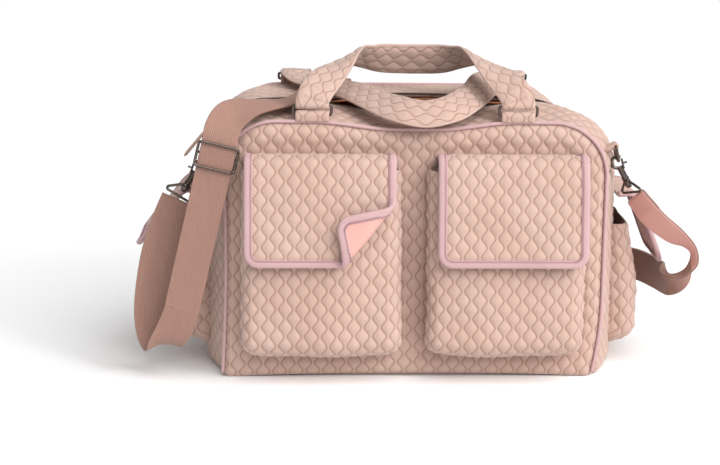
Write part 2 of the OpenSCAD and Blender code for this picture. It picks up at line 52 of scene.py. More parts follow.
# ---------------------------------------------------------------- camera
def make_camera():
    data = bpy.data.cameras.new("camera")
    data.lens = 87.06
    data.sensor_width = 36
    data.shift_x = -0.0687
    data.shift_y = -0.0038
    cam = bpy.data.objects.new("camera", data)
    azimuth, elevation, distance = math.radians(-2.87), math.radians(12.54), 2.0
    back = Vector((
        math.sin(azimuth) * math.cos(elevation),
        -math.cos(azimuth) * math.cos(elevation),
        math.sin(elevation),
    ))
    cam.location = Vector((0, 0, 0.145)) + back * distance
    turn = (-back).to_track_quat("-Z", "Y").to_matrix() @ Matrix.Rotation(math.radians(0.8), 3, "Z")
    cam.rotation_euler = turn.to_euler()
    bpy.context.scene.collection.objects.link(cam)
    bpy.context.scene.camera = cam


make_camera()


# ---------------------------------------------------------------- numbers
def vec(*v):
    return np.array(v, float)


def smoothstep(x):
    x = np.clip(x, 0, 1)
    return x * x * (3 - 2 * x)


def dome(x):
    """0 at the edge, rising round to 1."""
    return np.sin(np.clip(x, 0, 1) * PI / 2)


def unit(a):
    return a / np.maximum(np.linalg.norm(a, axis=-1, keepdims=True), 1e-9)


def spline(xs, ys, x):
    """A smooth curve through the points (xs, ys)."""
    xs, ys = np.array(xs, float), np.array(ys, float)
    slope = np.gradient(ys, xs)
    i = np.clip(np.searchsorted(xs, x) - 1, 0, len(xs) - 2)
    h = xs[i + 1] - xs[i]
    t = np.clip((x - xs[i]) / h, 0, 1)
    return (
        (2 * t**3 - 3 * t**2 + 1) * ys[i] + (t**3 - 2 * t**2 + t) * h * slope[i]
        + (-2 * t**3 + 3 * t**2) * ys[i + 1] + (t**3 - t**2) * h * slope[i + 1]
    )


def through(points, step):
    """Points about step apart on a Catmull-Rom curve through the given rows of numbers."""
    p = np.array(points, float)
    ends = np.vstack([2 * p[0] - p[1], p, 2 * p[-1] - p[-2]])
    rows = []
    for i in range(len(p) - 1):
        a, b, c, d = ends[i:i + 4]
        n = max(2, int(np.ceil(np.linalg.norm((c - b)[:3]) / step)))
        t = (np.arange(n) / n)[:, None]
        rows.append(0.5 * (2 * b + (c - a) * t + (2 * a - 5 * b + 4 * c - d) * t**2
                           + (3 * b - a - 3 * c + d) * t**3))
    return np.vstack(rows + [p[-1:]])


def lengths(points):
    return np.r_[0, np.cumsum(np.linalg.norm(np.diff(points[:, :3], axis=0), axis=1))]


def wander(u, v, seed, size=90.0):
    """A slow, smooth unevenness between about -1 and 1."""
    random = np.random.default_rng(seed)
    total = np.zeros(np.broadcast(u, v).shape)
    for _ in range(6):
        angle, phase = random.uniform(0, PI), random.uniform(0, 2 * PI)
        scale = size * random.uniform(0.5, 1.5)
        total += np.sin(2 * PI * (u * math.cos(angle) + v * math.sin(angle)) / scale + phase)
    return total / 3.5


# ---------------------------------------------------------------- quilting
QUILT_PITCH = 9.2
QUILT_WAVE = 2.75
QUILT_PERIOD = 20.0
RIB_PITCH = 1.9


def quilt(u, v, swell=2.3):
    """Height of the padding between the wavy stitched lines; u runs across them and v along them."""
    s = QUILT_WAVE * np.sin(2 * PI * v / QUILT_PERIOD)
    a = (u - s) % (2 * QUILT_PITCH)
    gap = QUILT_PITCH - 2 * s
    other = 2 * QUILT_PITCH - gap
    t = np.where(a < gap, a / gap, (a - gap) / other)
    w = np.where(a < gap, gap, other)
    widest = QUILT_PITCH + 2 * QUILT_WAVE
    return swell * np.sin(PI * np.clip(t, 0, 1)) ** 0.62 * (w / widest) ** 0.75


# ---------------------------------------------------------------- mesh tools
def make(name, verts, faces, corner_uv, mats, face_mats=None, smooth=True):
    mesh = bpy.data.meshes.new(name)
    verts = np.asarray(verts, float).reshape(-1, 3) * MM
    faces = [np.asarray(f, np.int64) for f in faces]
    if signed_volume(verts, faces) < 0:
        faces = [f[:, ::-1] for f in faces]
        corner_uv = [c[:, ::-1] for c in corner_uv]
    mesh.from_pydata(verts.tolist(), [], [row for f in faces for row in f.tolist()])
    layer = mesh.uv_layers.new(name="cloth")
    flat = np.vstack([np.asarray(c, float).reshape(-1, 2) for c in corner_uv]) * 0.01
    layer.data.foreach_set("uv", flat.astype(np.float32).ravel())
    for m in mats:
        mesh.materials.append(m)
    if face_mats is not None:
        mesh.polygons.foreach_set("material_index", np.asarray(face_mats, np.int32))
    mesh.polygons.foreach_set("use_smooth", [smooth] * len(mesh.polygons))
    mesh.validate()
    mesh.update()
    piece = bpy.data.objects.new(name, mesh)
    bpy.context.scene.collection.objects.link(piece)
    return piece


def signed_volume(verts, faces):
    total = 0.0
    for f in faces:
        for k in range(1, f.shape[1] - 1):
            a, b, c = verts[f[:, 0]], verts[f[:, k]], verts[f[:, k + 1]]
            total += np.einsum("ij,ij->i", a, np.cross(b, c)).sum()
    return total


def grid_quads(nu, nv):
    i, j = np.meshgrid(np.arange(nu - 1), np.arange(nv - 1), indexing="ij")
    a = (i * nv + j).ravel()
    return np.stack([a, a + nv, a + nv + 1, a + 1], 1)


def outward_normals(p, centre):
    """Directions square to a grid of points, turned away from centre."""
    n = unit(np.cross(np.gradient(p, axis=0), np.gradient(p, axis=1)))
    return n if np.mean(np.sum(n * (p - centre), -1)) >= 0 else -n


def uv_grid(across, along):
    return np.stack(np.broadcast_arrays(across[None], along[:, None]), -1)


def shell(name, outer, inner, uv, mats, inner_mat=0):
    """A closed sheet between two grids of points, with a rim round its four sides."""
    nu, nv = outer.shape[:2]
    n = nu * nv
    front = grid_quads(nu, nv)
    back = front[:, ::-1] + n
    i, j = np.arange(nu - 1), np.arange(nv - 1)
    low, high = i * nv, i * nv + nv - 1
    last = (nu - 1) * nv
    rims = np.vstack([
        np.stack([low + nv, low, low + n, low + nv + n], 1),
        np.stack([high, high + nv, high + nv + n, high + n], 1),
        np.stack([j, j + 1, j + 1 + n, j + n], 1),
        np.stack([last + j + 1, last + j, last + j + n, last + j + 1 + n], 1),
    ])
    faces = np.vstack([front, back, rims])
    flat_uv = np.vstack([uv.reshape(-1, 2)] * 2)
    which = np.r_[np.zeros(len(front)), np.full(len(back), inner_mat), np.zeros(len(rims))]
    verts = np.vstack([outer.reshape(-1, 3), inner.reshape(-1, 3)])
    return make(name, verts, [faces], [flat_uv[faces]], mats, which)


def rings_skin(name, p, uv, mats, closed=False):
    """A tube through rings of points; uv has one more column than p, for the seam."""
    n, k = p.shape[:2]
    rows = n if closed else n - 1
    i, j = np.meshgrid(np.arange(rows), np.arange(k), indexing="ij")
    i, j = i.ravel(), j.ravel()
    i2, j2 = (i + 1) % n, (j + 1) % k
    faces = np.stack([i * k + j, i2 * k + j, i2 * k + j2, i * k + j2], 1)
    top = np.minimum(i + 1, n - 1)
    corner_uv = np.stack([uv[i, j], uv[top, j], uv[top, j + 1], uv[i, j + 1]], 1)
    all_faces, all_uv = [faces], [corner_uv]
    verts = p.reshape(-1, 3)
    if not closed:
        around = np.arange(k)
        nxt = (around + 1) % k
        for row, flip in ((0, False), (n - 1, True)):
            verts = np.vstack([verts, p[row].mean(0)[None]])
            hub = np.full(k, len(verts) - 1)
            a, b = row * k + around, row * k + nxt
            all_faces.append(np.stack([hub, b, a] if flip else [hub, a, b], 1))
            mid = np.repeat(uv[row, :k].mean(0)[None], k, 0)
            low, high = uv[row, :k], uv[row, 1:]
            all_uv.append(np.stack([mid, high, low] if flip else [mid, low, high], 1))
    return make(name, verts, all_faces, all_uv, mats)


def transport(path, closed):
    """Two directions square to the path at each of its points, without twist."""
    if closed:
        tangent = unit(np.roll(path, -1, 0) - np.roll(path, 1, 0))
    else:
        tangent = unit(np.gradient(path, axis=0))
    side = np.zeros_like(path)
    side[0] = unit(np.cross(tangent[0], (0.12, 0.31, 1.0)))
    for i in range(1, len(path)):
        s = side[i - 1] - tangent[i] * (side[i - 1] @ tangent[i])
        side[i] = unit(s)
    return side, np.cross(tangent, side)


def tube(name, path, radius, mats, sides=10, closed=False):
    path = np.asarray(path, float)
    radius = np.broadcast_to(radius, (len(path),))
    side, out = transport(path, closed)
    a = np.arange(sides) * 2 * PI / sides
    ring = (side[:, None] * np.cos(a)[None, :, None] + out[:, None] * np.sin(a)[None, :, None])
    p = path[:, None] + ring * radius[:, None, None]
    around = np.arange(sides + 1) * 2 * PI * radius[0] / sides
    return rings_skin(name, p, uv_grid(around, lengths(path)), mats, closed)


def wire_tube(name, path, radius, sides=12, closed=True):
    return tube(name, path, radius, [gunmetal], sides, closed)


def corner_path(points, radius, steps=6):
    """A closed flat outline with rounded corners."""
    points = np.asarray(points, float)
    out = []
    for i, b in enumerate(points):
        a, c = points[i - 1], points[(i + 1) % len(points)]
        u, v = unit(a - b), unit(c - b)
        angle = math.acos(np.clip(u @ v, -1, 1))
        cut = radius / math.tan(angle / 2)
        middle = b + unit(u + v) * radius / math.sin(angle / 2)
        start, stop = b + u * cut, b + v * cut
        for k in range(steps + 1):
            t = k / steps
            d = unit((start - middle) * (1 - t) + (stop - middle) * t)
            out.append(middle + d * radius)
    return fill(np.array(out), 3.0, True)


def fill(path, step, closed=False):
    rows = []
    n = len(path)
    for i in range(n if closed else n - 1):
        a, b = path[i], path[(i + 1) % n]
        m = max(1, int(np.linalg.norm(b - a) // step))
        rows.append(a + (b - a) * (np.arange(m) / m)[:, None])
    return np.vstack(rows if closed else rows + [path[-1:]])


def join(name, parts):
    """Makes one piece of several."""
    with bpy.context.temp_override(active_object=parts[0], selected_editable_objects=parts):
        bpy.ops.object.join()
    parts[0].name = name
    return parts[0]


def finish_piece(piece, body, slot, *nodes, fill_share=None, blend=None):
    if blend:
        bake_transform(piece)
    else:
        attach(piece, body)
    if nodes:
        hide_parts(*nodes)
    return piece


# ---------------------------------------------------------------- materials
class Shader:
    """Short names for the nodes of one material."""

    def __init__(self, name, **values):
        self.mat = bpy.data.materials.new(name)
        self.mat.use_nodes = True
        self.tree = self.mat.node_tree
        self.bsdf = self.tree.nodes["Principled BSDF"]
        for key, value in values.items():
            self.bsdf.inputs[key.replace("_", " ")].default_value = value
        self.mat.diffuse_color = tuple(values.get("Base_Color", (0.8, 0.8, 0.8, 1)))

    def link(self, out, to, socket):
        self.tree.links.new(out, to.inputs[socket])

    def set(self, node, socket, value):
        if isinstance(value, bpy.types.NodeSocket):
            self.tree.links.new(value, node.inputs[socket])
        else:
            node.inputs[socket].default_value = value

    def math(self, op, a, b=None, clamp=False):
        node = self.tree.nodes.new("ShaderNodeMath")
        node.operation = op
        node.use_clamp = clamp
        self.set(node, 0, a)
        if b is not None:
            self.set(node, 1, b)
        return node.outputs[0]

    def uv(self):
        """u and v in millimetres."""
        node = self.tree.nodes.new("ShaderNodeUVMap")
        node.uv_map = "cloth"
        split = self.tree.nodes.new("ShaderNodeSeparateXYZ")
        self.link(node.outputs[0], split, 0)
        return self.math("MULTIPLY", split.outputs[0], 100), self.math("MULTIPLY", split.outputs[1], 100)

    def noise(self, scale, detail=3.0, rough=0.5, stretch=None):
        co = self.tree.nodes.new("ShaderNodeTexCoord").outputs["Object"]
        if stretch:
            mapping = self.tree.nodes.new("ShaderNodeMapping")
            self.link(co, mapping, 0)
            mapping.inputs["Scale"].default_value = stretch
            co = mapping.outputs[0]
        node = self.tree.nodes.new("ShaderNodeTexNoise")
        self.link(co, node, "Vector")
        node.inputs["Scale"].default_value = scale
        node.inputs["Detail"].default_value = detail
        node.inputs["Roughness"].default_value = rough
        return node.outputs[0]

    def mix(self, share, a, b):
        node = self.tree.nodes.new("ShaderNodeMix")
        node.data_type = "RGBA"
        self.set(node, 0, share)
        for socket, value in ((6, a), (7, b)):
            self.set(node, socket, value if not isinstance(value, tuple) else (*value, 1))
        return node.outputs[2]

    def ramp(self, value, low, high):
        node = self.tree.nodes.new("ShaderNodeMapRange")
        self.set(node, 0, value)
        node.inputs[1].default_value = low
        node.inputs[2].default_value = high
        return node.outputs[0]

    def bump(self, height, distance, strength=1.0, after=None):
        node = self.tree.nodes.new("ShaderNodeBump")
        node.inputs["Strength"].default_value = strength
        node.inputs["Distance"].default_value = distance
        self.link(height, node, "Height")
        if after:
            self.link(after, node, "Normal")
        return node.outputs[0]

    def done(self, colour=None, rough=None, normal=None):
        if colour is not None:
            self.link(colour, self.bsdf, "Base Color")
        if rough is not None:
            self.link(rough, self.bsdf, "Roughness")
        if normal is not None:
            self.link(normal, self.bsdf, "Normal")
        return self.mat

    def threads(self, value, pitch):
        """0 between threads that lie a pitch apart, 1 on top of them."""
        return self.math("ABSOLUTE", self.math("SINE", self.math("MULTIPLY", value, PI / pitch)))

    def weave(self, u, v, pitch):
        """Plain weave: 0 in the gaps, 1 on the threads."""
        return self.math("MULTIPLY", self.threads(u, pitch), self.threads(v, pitch))


def cloth_material(name, light, dark, crease_shade=None, knit=0.9, rough=0.85, quilted=False):
    s = Shader(name, Base_Color=(*light, 1), Roughness=rough, Sheen_Weight=0.25, Sheen_Roughness=0.5,
               Specular_IOR_Level=0.25)
    u, v = s.uv()
    loops = s.weave(u, v, knit)
    blotch = s.ramp(s.noise(14, 4), 0.3, 0.7)
    fine = s.ramp(s.noise(900, 2, 0.7), 0.25, 0.75)
    colour = s.mix(s.math("MULTIPLY", blotch, 0.35), light, dark)
    colour = s.mix(s.math("MULTIPLY", s.math("SUBTRACT", 1.0, loops), 0.22), colour, dark)
    colour = s.mix(s.math("MULTIPLY", fine, 0.18), colour, tuple(min(1, c * 1.12) for c in light))
    normal = s.bump(loops, 0.0002, 0.55)
    normal = s.bump(fine, 0.00025, 0.45, normal)
    if quilted:
        phase = s.math("SINE", s.math("MULTIPLY", v, 2 * PI / QUILT_PERIOD))
        shift = s.math("MULTIPLY", phase, QUILT_WAVE)
        near = []
        for sign, offset in (("SUBTRACT", 0.0), ("ADD", QUILT_PITCH)):
            across = s.math(sign, s.math("ADD", u, offset), shift)
            near.append(s.math("PINGPONG", across, QUILT_PITCH))
        distance = s.math("MINIMUM", near[0], near[1])
        # Painted shade: within 1.5 mm of each stitched line, the colour is drawn up to half way towards
        # the crease colour. This is shade painted into the quilting's creases.
        line = s.math("SUBTRACT", 1.0, s.ramp(distance, 0.15, 1.5))
        dash = s.math("GREATER_THAN", s.math("PINGPONG", v, 1.3), 0.35)
        colour = s.mix(s.math("MULTIPLY", line, 0.5), colour, crease_shade)
        thread = s.math("MULTIPLY", s.math("LESS_THAN", distance, 0.28), dash)
        colour = s.mix(s.math("MULTIPLY", thread, 0.35), colour, tuple(c * 1.05 for c in dark))
        normal = s.bump(thread, 0.0003, 0.6, normal)
    return s.done(colour, None, normal)


def webbing_material(name, light, dark):
    s = Shader(name, Base_Color=(*light, 1), Roughness=0.62, Sheen_Weight=0.15, Specular_IOR_Level=0.4)
    u, v = s.uv()
    rib, pick = s.threads(u, RIB_PITCH), s.threads(v, 0.8)
    grain = s.ramp(s.noise(220, 3, 0.7, (1, 1, 0.15)), 0.3, 0.7)
    colour = s.mix(s.math("POWER", rib, 0.5), dark, light)
    colour = s.mix(s.math("MULTIPLY", grain, 0.3), colour, dark)
    normal = s.bump(pick, 0.0002, 0.5, s.bump(rib, 0.0004, 0.5))
    return s.done(colour, None, normal)


def metal_material(name, base, rough):
    s = Shader(name, Base_Color=(*base, 1), Metallic=1.0, Roughness=rough,
               Coat_Weight=0.3, Coat_Roughness=0.15)
    cloud = s.ramp(s.noise(60, 4), 0.3, 0.7)
    scratch = s.ramp(s.noise(500, 2, 0.6, (1, 1, 0.05)), 0.45, 0.75)
    colour = s.mix(s.math("MULTIPLY", cloud, 0.5), base, tuple(c * 1.7 for c in base))
    roughness = s.math("ADD", s.math("MULTIPLY", scratch, 0.16), rough)
    return s.done(colour, roughness, s.bump(scratch, 0.00005, 0.3))


def plastic_material(name, base):
    s = Shader(name, Base_Color=(*base, 1), Roughness=0.6)
    grain = s.noise(420, 3, 0.6)
    colour = s.mix(s.ramp(grain, 0.3, 0.7), base, tuple(c * 0.8 for c in base))
    return s.done(colour, None, s.bump(grain, 0.0002, 0.4))


# The third colour is painted shade for the creases along the quilting's stitched lines.
PEACH, PEACH_DARK, PEACH_CREASE_SHADE = (0.55, 0.395, 0.334), (0.425, 0.248, 0.188), (0.19, 0.07, 0.04)
quilted = cloth_material("quilted_peach", PEACH, PEACH_DARK, PEACH_CREASE_SHADE, quilted=True)
plain_peach = cloth_material("plain_peach", PEACH, PEACH_DARK)
pink = cloth_material("binding_pink", (0.56, 0.37, 0.37), (0.43, 0.25, 0.26), knit=0.7)
coral = cloth_material("coral_reverse", (0.74, 0.40, 0.35), (0.64, 0.31, 0.27), knit=0.7)
lining_mat = cloth_material("lining_tan", (0.62, 0.25, 0.12), (0.45, 0.16, 0.07), knit=0.6, rough=0.7)
tape_mat = cloth_material("zip_tape_peach", (0.52, 0.38, 0.32), (0.40, 0.26, 0.21), knit=0.8)
thread_mat = cloth_material("thread_pink", (0.36, 0.17, 0.20), (0.28, 0.12, 0.15), knit=0.4)
thread_peach = cloth_material("thread_peach", (0.44, 0.28, 0.22), (0.36, 0.21, 0.16), knit=0.4)
webbing = webbing_material("webbing_mauve", (0.36, 0.20, 0.155), (0.23, 0.12, 0.09))
gunmetal = metal_material("gunmetal", (0.10, 0.075, 0.065), 0.24)
board_mat = plastic_material("board_grey", (0.10, 0.10, 0.10))
pull_mat = cloth_material("pull_leather", (0.50, 0.33, 0.26), (0.38, 0.23, 0.17), knit=1.2, rough=0.6)


# ---------------------------------------------------------------- shoulder strap
# Places along the band's middle, each followed by a direction across the band.
STRAP_STATIONS = [
    [-257, -74, 195, 0.87, 0, -0.5], [-266, -82, 174, 1, 0, -0.3], [-277, -86, 142, 1, 0, -0.2],
    [-284, -89, 106, 1, 0, -0.1], [-287, -92, 73, 1, 0, 0], [-284, -96, 50, 1, 0, 0.1],
    [-276, -105, 40.5, 1, 0, 0.1], [-265, -117, 51, 1, 0, -0.1], [-252.3, -122, 79.4, 1, 0, -0.234],
    [-247, -122, 102, 1, 0, -0.234], [-217, -122, 230, 1, 0, -0.234],
    [-209.5, -122, 262, 1, 0, -0.234], [-206, -116, 280, 0.95, 0, -0.3],
    [-198, -107, 292, 0.9, -0.15, -0.4], [-182, -95, 299.5, 0.8, -0.5, -0.3],
    [-158, -78, 301, 0.68, -0.72, -0.1], [-134, -54, 300.5, 0.78, -0.62, 0],
    [-118, -24, 301, 0.93, -0.35, 0], [-110, 8, 303, 0.98, -0.2, 0],
    [-101, 42, 304.5, 0.98, -0.18, 0], [-91, 75, 305, 0.98, -0.15, 0], [-86, 97, 304.8, 1, 0, 0],
    [-85, 109, 297, 1, 0, 0], [-84, 113, 274, 1, 0, 0.05], [-76, 113, 224, 0.95, 0, 0.3],
    [-55, 113, 176, 0.85, 0, 0.5], [-15, 114, 138, 0.6, 0, 0.8], [40, 114, 110, 0.3, 0, 0.95],
    [100, 114, 94, 0.1, 0, 1], [160, 114, 87, 0, 0, 1], [215, 112, 86, 0, 0, 1],
    [250, 102, 86, 0, 0, 1], [277, 75, 87, 0, 0, 1], [290, 35, 88, 0, 0, 1],
    [294, -5, 91, -0.05, -0.15, 1], [294, -38, 97, -0.15, -0.5, 0.85],
    [298, -62, 107, -0.2, -0.85, 0.5], [307, -77, 119, -0.1, -1, 0.15], [312, -84, 133, 0, -1, 0],
    [306, -86, 146, 0.15, -0.95, 0.2], [290, -86, 158, 0.35, -0.8, 0.4],
    [268, -83, 175, 0.4, -0.77, 0.45], [254, -77, 191, 0.42, -0.85, 0.35],
    [246, -73, 201, 0.44, -0.87, 0.235],
]
STRAP_WIDTH = 38
DOUBLED_END = 26
CORAL_END = 105


def band_frames(stations, step):
    """Points along a band, the directions across and out of it there, and the length so far."""
    rows = through(stations, step)
    path = rows[:, :3]
    tangent = unit(np.gradient(path, axis=0))
    side = rows[:, 3:]
    side = unit(side - tangent * np.einsum("ij,ij->i", side, tangent)[:, None])
    return path, side, np.cross(tangent, side), lengths(path)


def band_face(frames, across, height):
    """The points of one face of a band, that high over its middle surface."""
    path, side, out, _ = frames
    return path[:, None] + side[:, None] * across[None, :, None] + out[:, None] * height[..., None]


def make_strap():
    frames = band_frames(STRAP_STATIONS, 3.0)
    path, _, _, run = frames
    total = run[-1]
    across = np.linspace(-STRAP_WIDTH / 2, STRAP_WIDTH / 2, 61)
    edge = np.clip((STRAP_WIDTH / 2 - np.abs(across)) / 1.2, 0, 1)
    rib = 0.28 * np.abs(np.sin(PI * across / RIB_PITCH)) ** 0.6
    half = 0.95 + 0.35 * dome(edge) + rib * dome(edge)
    end = np.minimum(run, total - run)
    fold = 1.6 * (1 - smoothstep((end - DOUBLED_END) / 2))
    half = half[None] + 0.5 * fold[:, None]
    half = half * dome((end + 0.8) / 4)[:, None]
    front, back = band_face(frames, across, half), band_face(frames, across, -half)
    strap = shell("strap_webbing", front, back, uv_grid(across, run), [webbing, coral])
    lined = run[:-1] > total - CORAL_END
    count = (len(run) - 1) * (len(across) - 1)
    which = np.zeros(len(strap.data.polygons), np.int32)
    which[count:2 * count] = np.repeat(lined, len(across) - 1)
    strap.data.polygons.foreach_set("material_index", which)
    return strap, path


strap, strap_line = make_strap()
finish_piece(strap, "bag", "webbing", "shoulder_strap")


# ---------------------------------------------------------------- body of the bag
SECTION_Y = [-94.8, -45, 20, 70, 94.8]
SECTION_HALF = [208, 226, 232, 224, 208]
SECTION_HEIGHT = [284, 295, 301, 301, 298]
SECTION_RADIUS = [58, 66, 70, 66, 58]
FRONT_HEIGHT, BACK_HEIGHT = SECTION_HEIGHT[0], SECTION_HEIGHT[-1]
BOTTOM_RADIUS = 14
FRONT_SAG = 8.0
SHELL_EDGE = 94.6
MOUTH_Y = -20
MOUTH_GAP = 1.5
INSIDE = vec(0, 0, 140)
QUILT_START = 400
WALL = 4.0


def front_sag(x):
    return FRONT_SAG * (1 - smoothstep((np.abs(x) - 25) / 85))


def lens(x):
    """Half-width of the open mouth at x."""
    return 34 * np.cos(np.clip(x / 175, -1, 1) * PI / 2) ** 1.6


def shoulder_drop(x, y, z):
    """How far the slack right shoulder sinks towards the back."""
    high = np.clip((z - 110) / 190, 0, 1) ** 1.5
    return 24 * smoothstep((x - 134) / 60) * smoothstep((y + 62) / 80) * high


def envelope(p, y, inset=0.0):
    """A point on the padded shell. p runs round it from 0 at the base on the left to 7 at the
    base on the right, over a corner, a side, an arc, the top, an arc, a side and a corner."""
    w = spline(SECTION_Y, SECTION_HALF, y) - inset
    h = spline(SECTION_Y, SECTION_HEIGHT, y) - inset
    r = spline(SECTION_Y, SECTION_RADIUS, y) - inset
    b = BOTTOM_RADIUS
    mirror = np.where(p > 3.5, 1.0, -1.0)
    q = np.where(p > 3.5, 7 - p, p)
    corner = np.clip(q, 0, 1) * PI / 2
    arc = np.clip(q - 2, 0, 1) * PI / 2
    flat = (w - r) * (1 - 2 * np.clip(q - 3, 0, 0.5))
    x = np.where(
        q < 1, w - b + b * np.sin(corner),
        np.where(q < 2, w, np.where(q < 3, w - r + r * np.cos(arc), flat)),
    )
    z = np.where(
        q < 1, b - b * np.cos(corner),
        np.where(q < 2, b + (h - r - b) * (q - 1), np.where(q < 3, h - r + r * np.sin(arc), h)),
    ) + np.where(q < 2.0, inset * np.clip(1 - q, 0, 1), 0)
    x = mirror * x
    near_front = 1 - smoothstep((y - SECTION_Y[0]) / 120)
    top = np.clip((z - 200) / 60, 0, 1)
    z = z - front_sag(x) * near_front * top
    drop = shoulder_drop(x, y, z)
    x, z = x - 0.35 * drop, z - drop
    return np.stack([x, np.broadcast_to(y, x.shape), z], -1)


def arc_steps(low, high):
    """Values of p between low and high whose points lie about a mesh step apart."""
    p = np.linspace(low, high, 3000)
    pts = envelope(p, np.full_like(p, 20.0))
    run = lengths(pts)
    n = int(run[-1] / MESH_STEP)
    return np.interp(np.linspace(0, run[-1], n), run, p), np.linspace(0, run[-1], n)


def padded_wall(name, node, p, y, run, edge, seed):
    """A quilted wall of the shell, with edge the distance to its seams."""
    base = envelope(p, y)
    n = outward_normals(base, INSIDE)
    fall = dome(edge / 7.0)
    u = y + QUILT_START / 2
    lift = -1.6 + (1.0 + quilt(u, run)) * fall + 0.7 * wander(y, run, seed, 80) * fall
    wall = shell(name, base + n * lift[..., None], base - n * WALL, np.stack([u, run], -1), [quilted])
    finish_piece(wall, "bag", "quilted_cloth", node, fill_share=0.3)


def make_gussets():
    for name, low, high, node, seed in (
        ("end_wall_left", 0.0, 2.0, "left_gusset", 4), ("end_wall_right", 5.0, 7.0, "right_gusset", 3),
    ):
        p, run = arc_steps(low, high)
        y = np.linspace(-SHELL_EDGE, SHELL_EDGE, int(2 * SHELL_EDGE / MESH_STEP))
        pp, yy = np.meshgrid(p, y, indexing="ij")
        rr = np.broadcast_to(run[:, None], pp.shape)
        edge = np.minimum(SHELL_EDGE - np.abs(yy), np.minimum(rr, run[-1] - rr) + 1)
        padded_wall(name, node, pp, yy, rr, edge, seed)
    p, run = arc_steps(2.0, 5.0)
    half = lens(envelope(p, np.full_like(p, MOUTH_Y))[:, 0])
    for side, start, stop, steps in (
        ("front", np.full_like(p, -SHELL_EDGE), MOUTH_Y - 0.3 - half - MOUTH_GAP, 64),
        ("back", MOUTH_Y + 0.3 + half + MOUTH_GAP, np.full_like(p, SHELL_EDGE), 80),
    ):
        yy = start[:, None] + (stop - start)[:, None] * np.linspace(0, 1, steps)[None]
        pp = np.broadcast_to(p[:, None], yy.shape)
        rr = np.broadcast_to(run[:, None], yy.shape)
        edge = np.minimum(yy - start[:, None], stop[:, None] - yy)
        edge = np.minimum(edge, np.minimum(rr, run[-1] - rr) + 1)
        padded_wall("top_" + side + "_cloth", "top_gusset_" + side, pp, yy, rr, edge, 5)


def rows_of(height, radius, low):
    """Heights of a panel's rows, and how much its corners cut off its half-width there."""
    a = np.linspace(0, PI / 2, max(4, int(low * PI / 2 / MESH_STEP)))[:-1]
    side = np.linspace(low, height - radius, int((height - radius - low) / MESH_STEP))
    b = np.linspace(0, PI / 2, int(radius * PI / 2 / MESH_STEP))[1:]
    z = np.r_[low - low * np.cos(a), side, height - radius + radius * np.sin(b)]
    return z, np.r_[low - low * np.sin(a), 0 * side, radius - radius * np.cos(b)]


PANEL_HALF = 208.0
PANEL_RADIUS = 58


def front_shape(x, z, height, is_front):
    """Where a point of the flat panel comes to lie on the standing bag."""
    low = np.clip(1 - z / 90, 0, 1) ** 2
    if is_front:
        z = z - front_sag(x) * np.clip((z - 150) / 134, 0, 1) ** 2
        bow = np.sin(np.clip(z / 280, 0, 1) * PI)
        x = x - 10 * low * np.clip(x / PANEL_HALF, 0, 1) + 5 * np.clip(-x / PANEL_HALF, 0, 1) * bow
    else:
        drop = shoulder_drop(x, 98.0, z)
        x, z = x - 0.35 * drop, z - drop
    z = z + 4.5 * (1 - (x / PANEL_HALF) ** 2) * np.clip(1 - z / 60, 0, 1) ** 2
    return x, z


def panel_edge(x, z, height):
    """Distance from the panel's edge."""
    qx = np.abs(x) - (PANEL_HALF - PANEL_RADIUS)
    qz = z - (height - PANEL_RADIUS)
    outside = np.hypot(np.maximum(qx, 0), np.maximum(qz, 0))
    return np.minimum(PANEL_RADIUS - outside - np.minimum(np.maximum(qx, qz), 0), z + 1.5)


def make_panel(name, node, y_face, sign, height):
    z, cut = rows_of(height, PANEL_RADIUS, 8)
    t = np.linspace(-1, 1, int(2 * PANEL_HALF / MESH_STEP))
    x = (PANEL_HALF - cut)[:, None] * t[None]
    zz = np.broadcast_to(z[:, None], x.shape)
    edge = panel_edge(x, zz, height)
    fall = dome(edge / 8.0)
    u = x + QUILT_START
    lift = -3.4 + (2.2 + quilt(u, zz)) * fall + 0.9 * wander(x, zz, 11, 110) * fall
    lift = lift + 1.8 * np.exp(-(edge - 14) ** 2 / 60.0)
    px, pz = front_shape(x, zz, height, sign < 0)
    outer = np.stack([px, y_face + sign * lift, pz], -1)
    inner = np.stack([px, np.full_like(px, y_face - sign * 4.8), pz], -1)
    panel = shell(name, outer, inner, np.stack([u, zz], -1), [quilted])
    finish_piece(panel, "bag", "quilted_cloth", node, fill_share=0.3)


PIPING_OUT = 1.6


def make_piping(name, node, y, sign, height):
    top_z, top_x = height - PANEL_RADIUS, PANEL_HALF - PANEL_RADIUS
    z_side = np.linspace(5, top_z, 90)
    a = np.linspace(0, PI / 2, 26)[1:-1]
    xs = np.linspace(-top_x, top_x, 110)
    r = PANEL_RADIUS + PIPING_OUT
    left = np.stack([np.full_like(z_side, -PANEL_HALF - PIPING_OUT), z_side], 1)
    arc = np.stack([-top_x - r * np.cos(a), top_z + r * np.sin(a)], 1)
    top = np.stack([xs, np.full_like(xs, height + PIPING_OUT)], 1)
    flat = np.vstack([left, arc, top, arc[::-1] * vec(-1, 1), left[::-1] * vec(-1, 1)])
    x, z = front_shape(flat[:, 0], flat[:, 1], height, sign < 0)
    pipe = tube(name, np.stack([x, np.full_like(x, y), z], 1), 2.0, [pink], 12)
    finish_piece(pipe, "bag", "binding_tape", node)


def make_base():
    half_x, half_y = 186, 94
    x, y = np.linspace(-half_x, half_x, 233), np.linspace(-half_y, half_y, 118)
    xx, yy = np.meshgrid(x, y, indexing="ij")
    edge = np.minimum(half_x - np.abs(xx), half_y - np.abs(yy))
    u, v = yy + QUILT_START / 2, xx + QUILT_START
    lift = 1.8 - (0.6 + quilt(u, v, 1.1)) * dome(edge / 8)
    outer = np.stack([xx, yy, lift], -1)
    inner = np.stack([xx, yy, np.full_like(xx, 4.4)], -1)
    base = shell("base_cloth", outer, inner, np.stack([u, v], -1), [quilted])
    finish_piece(base, "bag", "quilted_cloth", "base_panel", fill_share=0.2)


LINING_INSET = 6.2
LINING_THICK = 0.9
LINING_EDGE = 93.5


